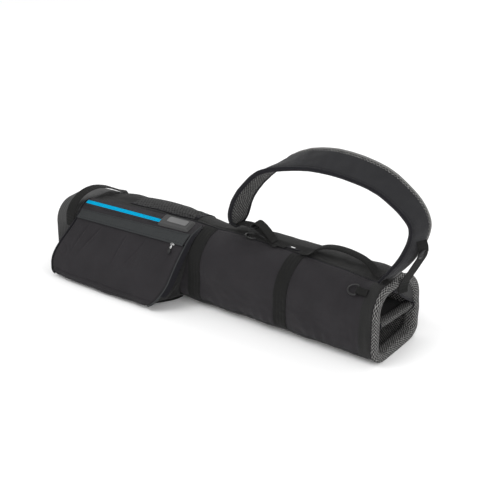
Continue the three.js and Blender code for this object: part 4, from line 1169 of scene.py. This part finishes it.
def build_strap_ends():
    """The webbing and buckles at the strap's two ends."""
    across, lifter_across = (0, 1, 0), (0.4, 0.9, 0.0)
    strip = [[462, 79, 196.2], [474, 79, 198.2], [488, 79, 200.2], [509, 79, 200.4]]
    tail = [[506, 79, 203], [510, 79, 208.5], [516, 79, 211.5], [525, 79, 208.5], [536, 79.5, 200.5],
            [546, 80, 191], [553, 81, 182], [560, 81, 177]]
    anchor = [[503, 79, 199.2], [513, 79.5, 198.4], [522, 80.5, 195], [534, 82, 188],
              [548, 83.5, 179.5], [560, 83.5, 175], [575, 83.5, 173.2], [590, 83.5, 172.6]]
    top = [[903, 93, 280], [909.5, 93.5, 271], [913.5, 94, 260], [914.5, 94, 249]]
    down = [[914, 94, 249], [911.5, 94, 240], [903, 94.5, 223], [892, 95, 202], [880, 96, 180],
            [872.5, 97, 165], [869.8, 97, 153], [870.2, 97, 141]]

    def webbing(name, path, side, thickness, count, nodes):
        piece = band(name, path, side, NARROW_WEBBING, thickness, count)
        strap_piece(piece, "webbing", replaces=nodes)

    webbing("left_strap_strip", strip, across, 1.8, 30, ["left_strap_webbing"])
    slotted_buckle("left_buckle", "left_slide_buckle", (508.5, 79, 202), (1, 0, 0.05), (0, 0, 1),
                   16, 34, 3.6, (-0.5, 4.5))
    webbing("left_tail", tail, across, 2.2, 40, ["left_webbing_tail"])
    webbing("left_anchor", anchor, across, 1.8, 60, ["left_anchor_webbing"])
    webbing("lifter_top", top, lifter_across, 2.0, 50, ["lifter_strap_webbing"])
    slotted_buckle("lifter_lock", "lifter_buckle", (913.5, 94, 246), (0.24, 0, 0.97), (0.97, 0, -0.24),
                   19, 34, 4.2, (-3.4, 1.4, 5.2))
    webbing("lifter_strip", down, lifter_across, 1.9, 60, ["lifter_webbing", "lifter_anchor"])


# ------------------------------------------------------------------ handles

def build_grab_handle():
    count = 130
    profile = [(630, 172.4), (642, 173), (653, 175.5), (662, 182), (672, 191), (688, 199.5), (714, 206),
               (740, 207), (764, 204.5), (786, 199), (802, 190), (810, 181), (818, 175.5), (830, 173)]
    path = [(x, 80, z) for x, z in profile]
    points = spline(path, count)
    run = np.linspace(0, 1, count)
    fullness = ramp(run, 0.12, 0.26) * (1 - ramp(run, 0.76, 0.9))
    p, side, normal = frames_along(points, (0, 1, 0))
    outline = rounded_ring([(-1, -0.7), (0, -1), (1, -0.7), (1, 0.7), (0, 1), (-1, 0.7)], 2)
    half_width, half_height = 13 - 2.6 * fullness, 1.2 + 2.4 * fullness
    rings = [[p[i] + side[i] * a * half_width[i] + normal[i] * (b * half_height[i] + 1.6)
              for a, b in outline] for i in range(count)]
    grab = finish_piece(sweep("grab_strap", rings), "webbing", body=None,
                        replaces=["grab_handle", "grab_handle_foot_1", "grab_handle_foot_2"])
    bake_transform(grab)


def build_base_handle():
    count = 120
    path = [[44.5, -5.4, 106], [45, -6, 120], [46, -5.4, 136], [48, 0, 151], [51, 10, 166], [56, 32, 179.5],
            [66, 64, 184], [78, 90, 177], [88, 106, 168], [97, 117, 161.5], [106, 128, 157]]
    rows_across = np.array([[-1, 0.02, 0]] * 4 + [[-0.97, 0.2, 0]] * 3 + [[-0.95, 0.3, 0]] * 4, float)
    rows = spline(np.c_[np.array(path, float), rows_across], count)
    p, side, normal = frames_along(rows[:, :3], rows[:, 3:])
    outward = np.sign(normal[count // 2, 2])
    outline = rounded_ring([(-12.5, -1), (12.5, -1), (12.5, 1), (-12.5, 1)], 2)
    rings = [[p[i] + side[i] * a + normal[i] * outward * (b + 1.2) for a, b in outline]
             for i in range(count)]
    base = finish_piece(sweep("base_strap", rings), "webbing", body=None,
                        replaces=["base_handle", "base_handle_foot_1", "base_handle_foot_2"])
    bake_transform(base)


# ------------------------------------------------------------------ small hardware

def surface_frame(x, turn, lift):
    """Origin and the along, across and outward directions of a place on the tube."""
    along = unit(skin(x + 10, turn) - skin(x - 10, turn))
    out = unit(skin(x, turn, 1) - skin(x, turn))
    out = unit(out - along * (out @ along))
    return skin(x, turn) + out * lift, along, np.cross(out, along), out


def build_d_ring():
    origin, along, across, out = surface_frame(806, 3.58, 4.4)
    half = [(0, 0), (0, 9.0), (-2, 11.8), (-7, 12.0), (-14, 10.6), (-20, 6.6)]
    outline = np.array(half + [(-22.6, 0)] + [(a, -b) for a, b in reversed(half[1:])], float)
    loop = rounded_ring(outline, 3)
    path = [origin + along * a + across * b for a, b in loop]
    ring = cable("d_ring_wire", path, 1.9, looped=True, sides=14)
    finish_piece(ring, "black_wire", body="d_ring", replaces=["d_ring"])
    fold = spline([[24, 0, -0.6], [16, 0, -0.2], [8, 0, 0.8], [2.5, 0, 2.9], [-1.6, 0, 2.2], [-3.0, 0, 0],
                   [-1.6, 0, -2.2], [2, 0, -3.0], [9, 0, -3.0], [24, 0, -3.0]], 60)
    path = np.array([origin + along * a + out * c for a, _, c in fold])
    normal = unit(np.cross(np.gradient(path, axis=0), across))
    outline = rounded_ring([(-8.2, -0.6), (8.2, -0.6), (8.2, 0.6), (-8.2, 0.6)], 2)
    rings = [[p + across * a + normal[i] * b for a, b in outline] for i, p in enumerate(path)]
    finish_piece(sweep("d_ring_loop", rings), "webbing", replaces=["d_ring_tab"])


def build_hook():
    z = 177.5
    bends = [(545, 76), (533, 79), (516, 84.2), (499, 84.6), (488.5, 78), (489.5, 68.5), (499, 63.2),
             (512, 65.2), (517, 69)]
    path = spline([(x, y, z) for x, y in bends], 90)
    wire = cable("hook_wire", path, 2.1, sides=14)
    finish_piece(wire, "black_wire", body="wire_hook", replaces=["wire_hook"])
    tab = band("hook_loop", [[545, 76, 176.3], [551, 73, 175.3], [559, 70, 173.6], [572, 68, 172.4]],
               (0.1, 1, 0), 11, 1.6, 24, lift=0.6)
    finish_piece(tab, "webbing", replaces=["hook_tab"])


def build_label():
    middle_x, middle_turn = 604, 4.56
    outline = rounded_ring([(-23, -17), (21, -14), (23, 15), (-20, 17)], 3)
    for name, scale, lift, look, thick in (("label_backing", 1.0, 1.0, "binding", 1.6),
                                           ("label_patch", 0.26, 2.4, "label", 0.8)):
        rings = []
        for share, drop in ((0.02, 0.0), (0.5, 0.0), (0.92, 0.0), (1.0, 0.45), (1.0, 1.0), (0.5, 1.0),
                            (0.02, 1.0)):
            x, turn = outline.T * scale * share
            height = 0.6 + lift + thick * (1 - drop)
            rings.append(skin(middle_x + x, middle_turn + turn / 40, height))
        piece = sweep(name, rings)
        finish_piece(piece, look, replaces=["label_tab"] if name == "label_backing" else ())


def pocket_frame(x, v, lift):
    at = pocket(x, v, lift)
    out = unit(pocket(x, v, lift + 1) - at)
    along = np.array([1.0, 0, 0])
    return at, along, np.cross(out, along), out


def block(at, axes, outline, heights):
    """Rings of a moulded body: the outline scaled at each height above at."""
    x, y, z = axes
    smooth = rounded_ring(outline)
    return [[at + x * a * k + y * b * k + z * h for a, b in smooth] for h, k in heights]


def build_zip_slider(name, x, v, lift, body, node):
    at, along, across, out = pocket_frame(x, v, lift)
    outline = [(-5.4, -2.4), (-3, -3.8), (4.6, -3.4), (5.4, -1.4), (5.4, 1.4), (4.6, 3.4), (-3, 3.8),
               (-5.4, 2.4)]
    heights = [(0, 0.92), (0.3, 1), (1.5, 1), (1.9, 0.9), (1.9, 0.05)]
    rings = block(at, (along, across, out), outline, heights)
    finish_piece(sweep(name, rings), "nickel", body=body, replaces=[node])
    bends = ((-3.2, 1.6), (-2.4, 2.9), (0, 3.5), (2.4, 2.9), (3.2, 1.6))
    arch = [at + along * a + across * 1.2 + out * h for a, h in bends]
    finish_piece(cable(name + "_bridge", spline(arch, 16), 0.75), "nickel", body=body)
    return at, along, across, out


def build_sliders():
    at, along, across, out = build_zip_slider(
        "lower_slider_body", LOWER_SLIDER_X, LOWER_ZIP, 0.4, "lower_slider", "lower_zip_slider")
    build_zip_slider(
        "upper_slider_body", UPPER_SLIDER_X, UPPER_ZIP, 1.9, "upper_slider", "upper_zip_slider")
    tongue = [(-1.5, -4.1), (1.5, -4.1), (2.6, -6.5), (2.2, -13), (-2.2, -13), (-2.6, -6.5)]
    heights = [(2.0, 0.85), (2.3, 1), (3.1, 1), (3.4, 0.85), (3.4, 0.03)]

    def plate(name, outline, look, heights, replaces=()):
        smooth = rounded_ring(outline, 2)
        middle = smooth.mean(0)
        rings = []
        for height, scale in heights:
            a, b = (middle + (smooth - middle) * scale).T[..., None]
            rings.append(at + along * a + across * b + out * height)
        finish_piece(sweep(name, rings), look, body="lower_pull", replaces=replaces)

    plate("zip_pull_tongue", tongue, "nickel", heights)
    grip = [(-2.4, -12), (2.4, -12), (4.2, -18.5), (3.4, -24), (-3.4, -24), (-4.2, -18.5)]
    plate("zip_pull_grip", grip, "plastic", [(1.5, 0.8), (1.9, 1), (3.9, 1), (4.4, 0.8), (4.4, 0.03)],
          replaces=["lower_zip_pull"])


# ------------------------------------------------------------------ camera, floor and light

CAMERA_PLACE = Vector((1.7124, -2.3528, 1.5903))
CAMERA_TARGET = Vector((0.0781, -0.03, 0.1501))
CAMERA_LENS = 104.85
LAMP_TARGET = Vector((0, 0, 0.15))


def build_camera():
    camera = bpy.data.objects.new("camera", bpy.data.cameras.new("camera"))
    bpy.context.scene.collection.objects.link(camera)
    camera.data.sensor_width = 36
    camera.data.lens = CAMERA_LENS
    camera.location = CAMERA_PLACE
    camera.rotation_mode = "QUATERNION"
    camera.rotation_quaternion = (CAMERA_TARGET - camera.location).to_track_quat("-Z", "Y")
    camera.data.clip_start = 0.05
    camera.data.clip_end = 60
    bpy.context.scene.camera = camera


def build_floor():
    mesh = bpy.data.meshes.new("floor")
    side = 12
    corners = [(-side, -side, 0), (side, -side, 0), (side, side, 0), (-side, side, 0)]
    mesh.from_pydata(corners, [], [(0, 1, 2, 3)])
    floor = bpy.data.objects.new("floor", mesh)
    bpy.context.scene.collection.objects.link(floor)
    material = bpy.data.materials.new("floor")
    material.use_nodes = True
    surface = material.node_tree.nodes["Principled BSDF"]
    surface.inputs["Base Color"].default_value = (0.93, 0.93, 0.93, 1)
    surface.inputs["Roughness"].default_value = 0.9
    mesh.materials.append(material)


def build_light():
    world = bpy.data.worlds.new("world")
    world.use_nodes = True
    world.node_tree.nodes["Background"].inputs[0].default_value = (1, 1, 1, 1)
    world.node_tree.nodes["Background"].inputs[1].default_value = 0.85
    bpy.context.scene.world = world
    bpy.context.scene.view_settings.view_transform = "Standard"
    lamps = [("key", (-0.6, -1.5, 2.6), 1.6, 34), ("front", (1.2, -2.6, 1.2), 1.8, 16),
             ("mouth", (2.4, -0.4, 1.0), 1.2, 14), ("back", (0.2, 2.2, 2.2), 1.6, 20)]
    for name, at, size, power in lamps:
        lamp = bpy.data.lights.new(name, "AREA")
        lamp.size = size
        lamp.energy = power
        obj = bpy.data.objects.new(name, lamp)
        obj.location = at
        obj.rotation_mode = "QUATERNION"
        obj.rotation_quaternion = (LAMP_TARGET - Vector(at)).to_track_quat("-Z", "Y")
        bpy.context.scene.collection.objects.link(obj)


def paint_carried_nodes():
    """CAD nodes that stay: the hoop inside the roll and the stay inside the spine."""
    for name in ("mouth_hoop", "spine_stay"):
        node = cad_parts[name]
        node.data.materials.clear()
        node.data.materials.append(MATERIALS["plastic"])


build_camera()
build_floor()
build_light()
build_base()
build_skins()
build_seams()
build_bands()
build_mouth_hem()
build_mouth()
build_divider()
build_corner_web()
build_pocket()
build_mesh_pocket()
build_strap()
build_strap_ends()
build_grab_handle()
build_base_handle()
build_d_ring()
build_hook()
build_label()
build_sliders()
paint_carried_nodes()
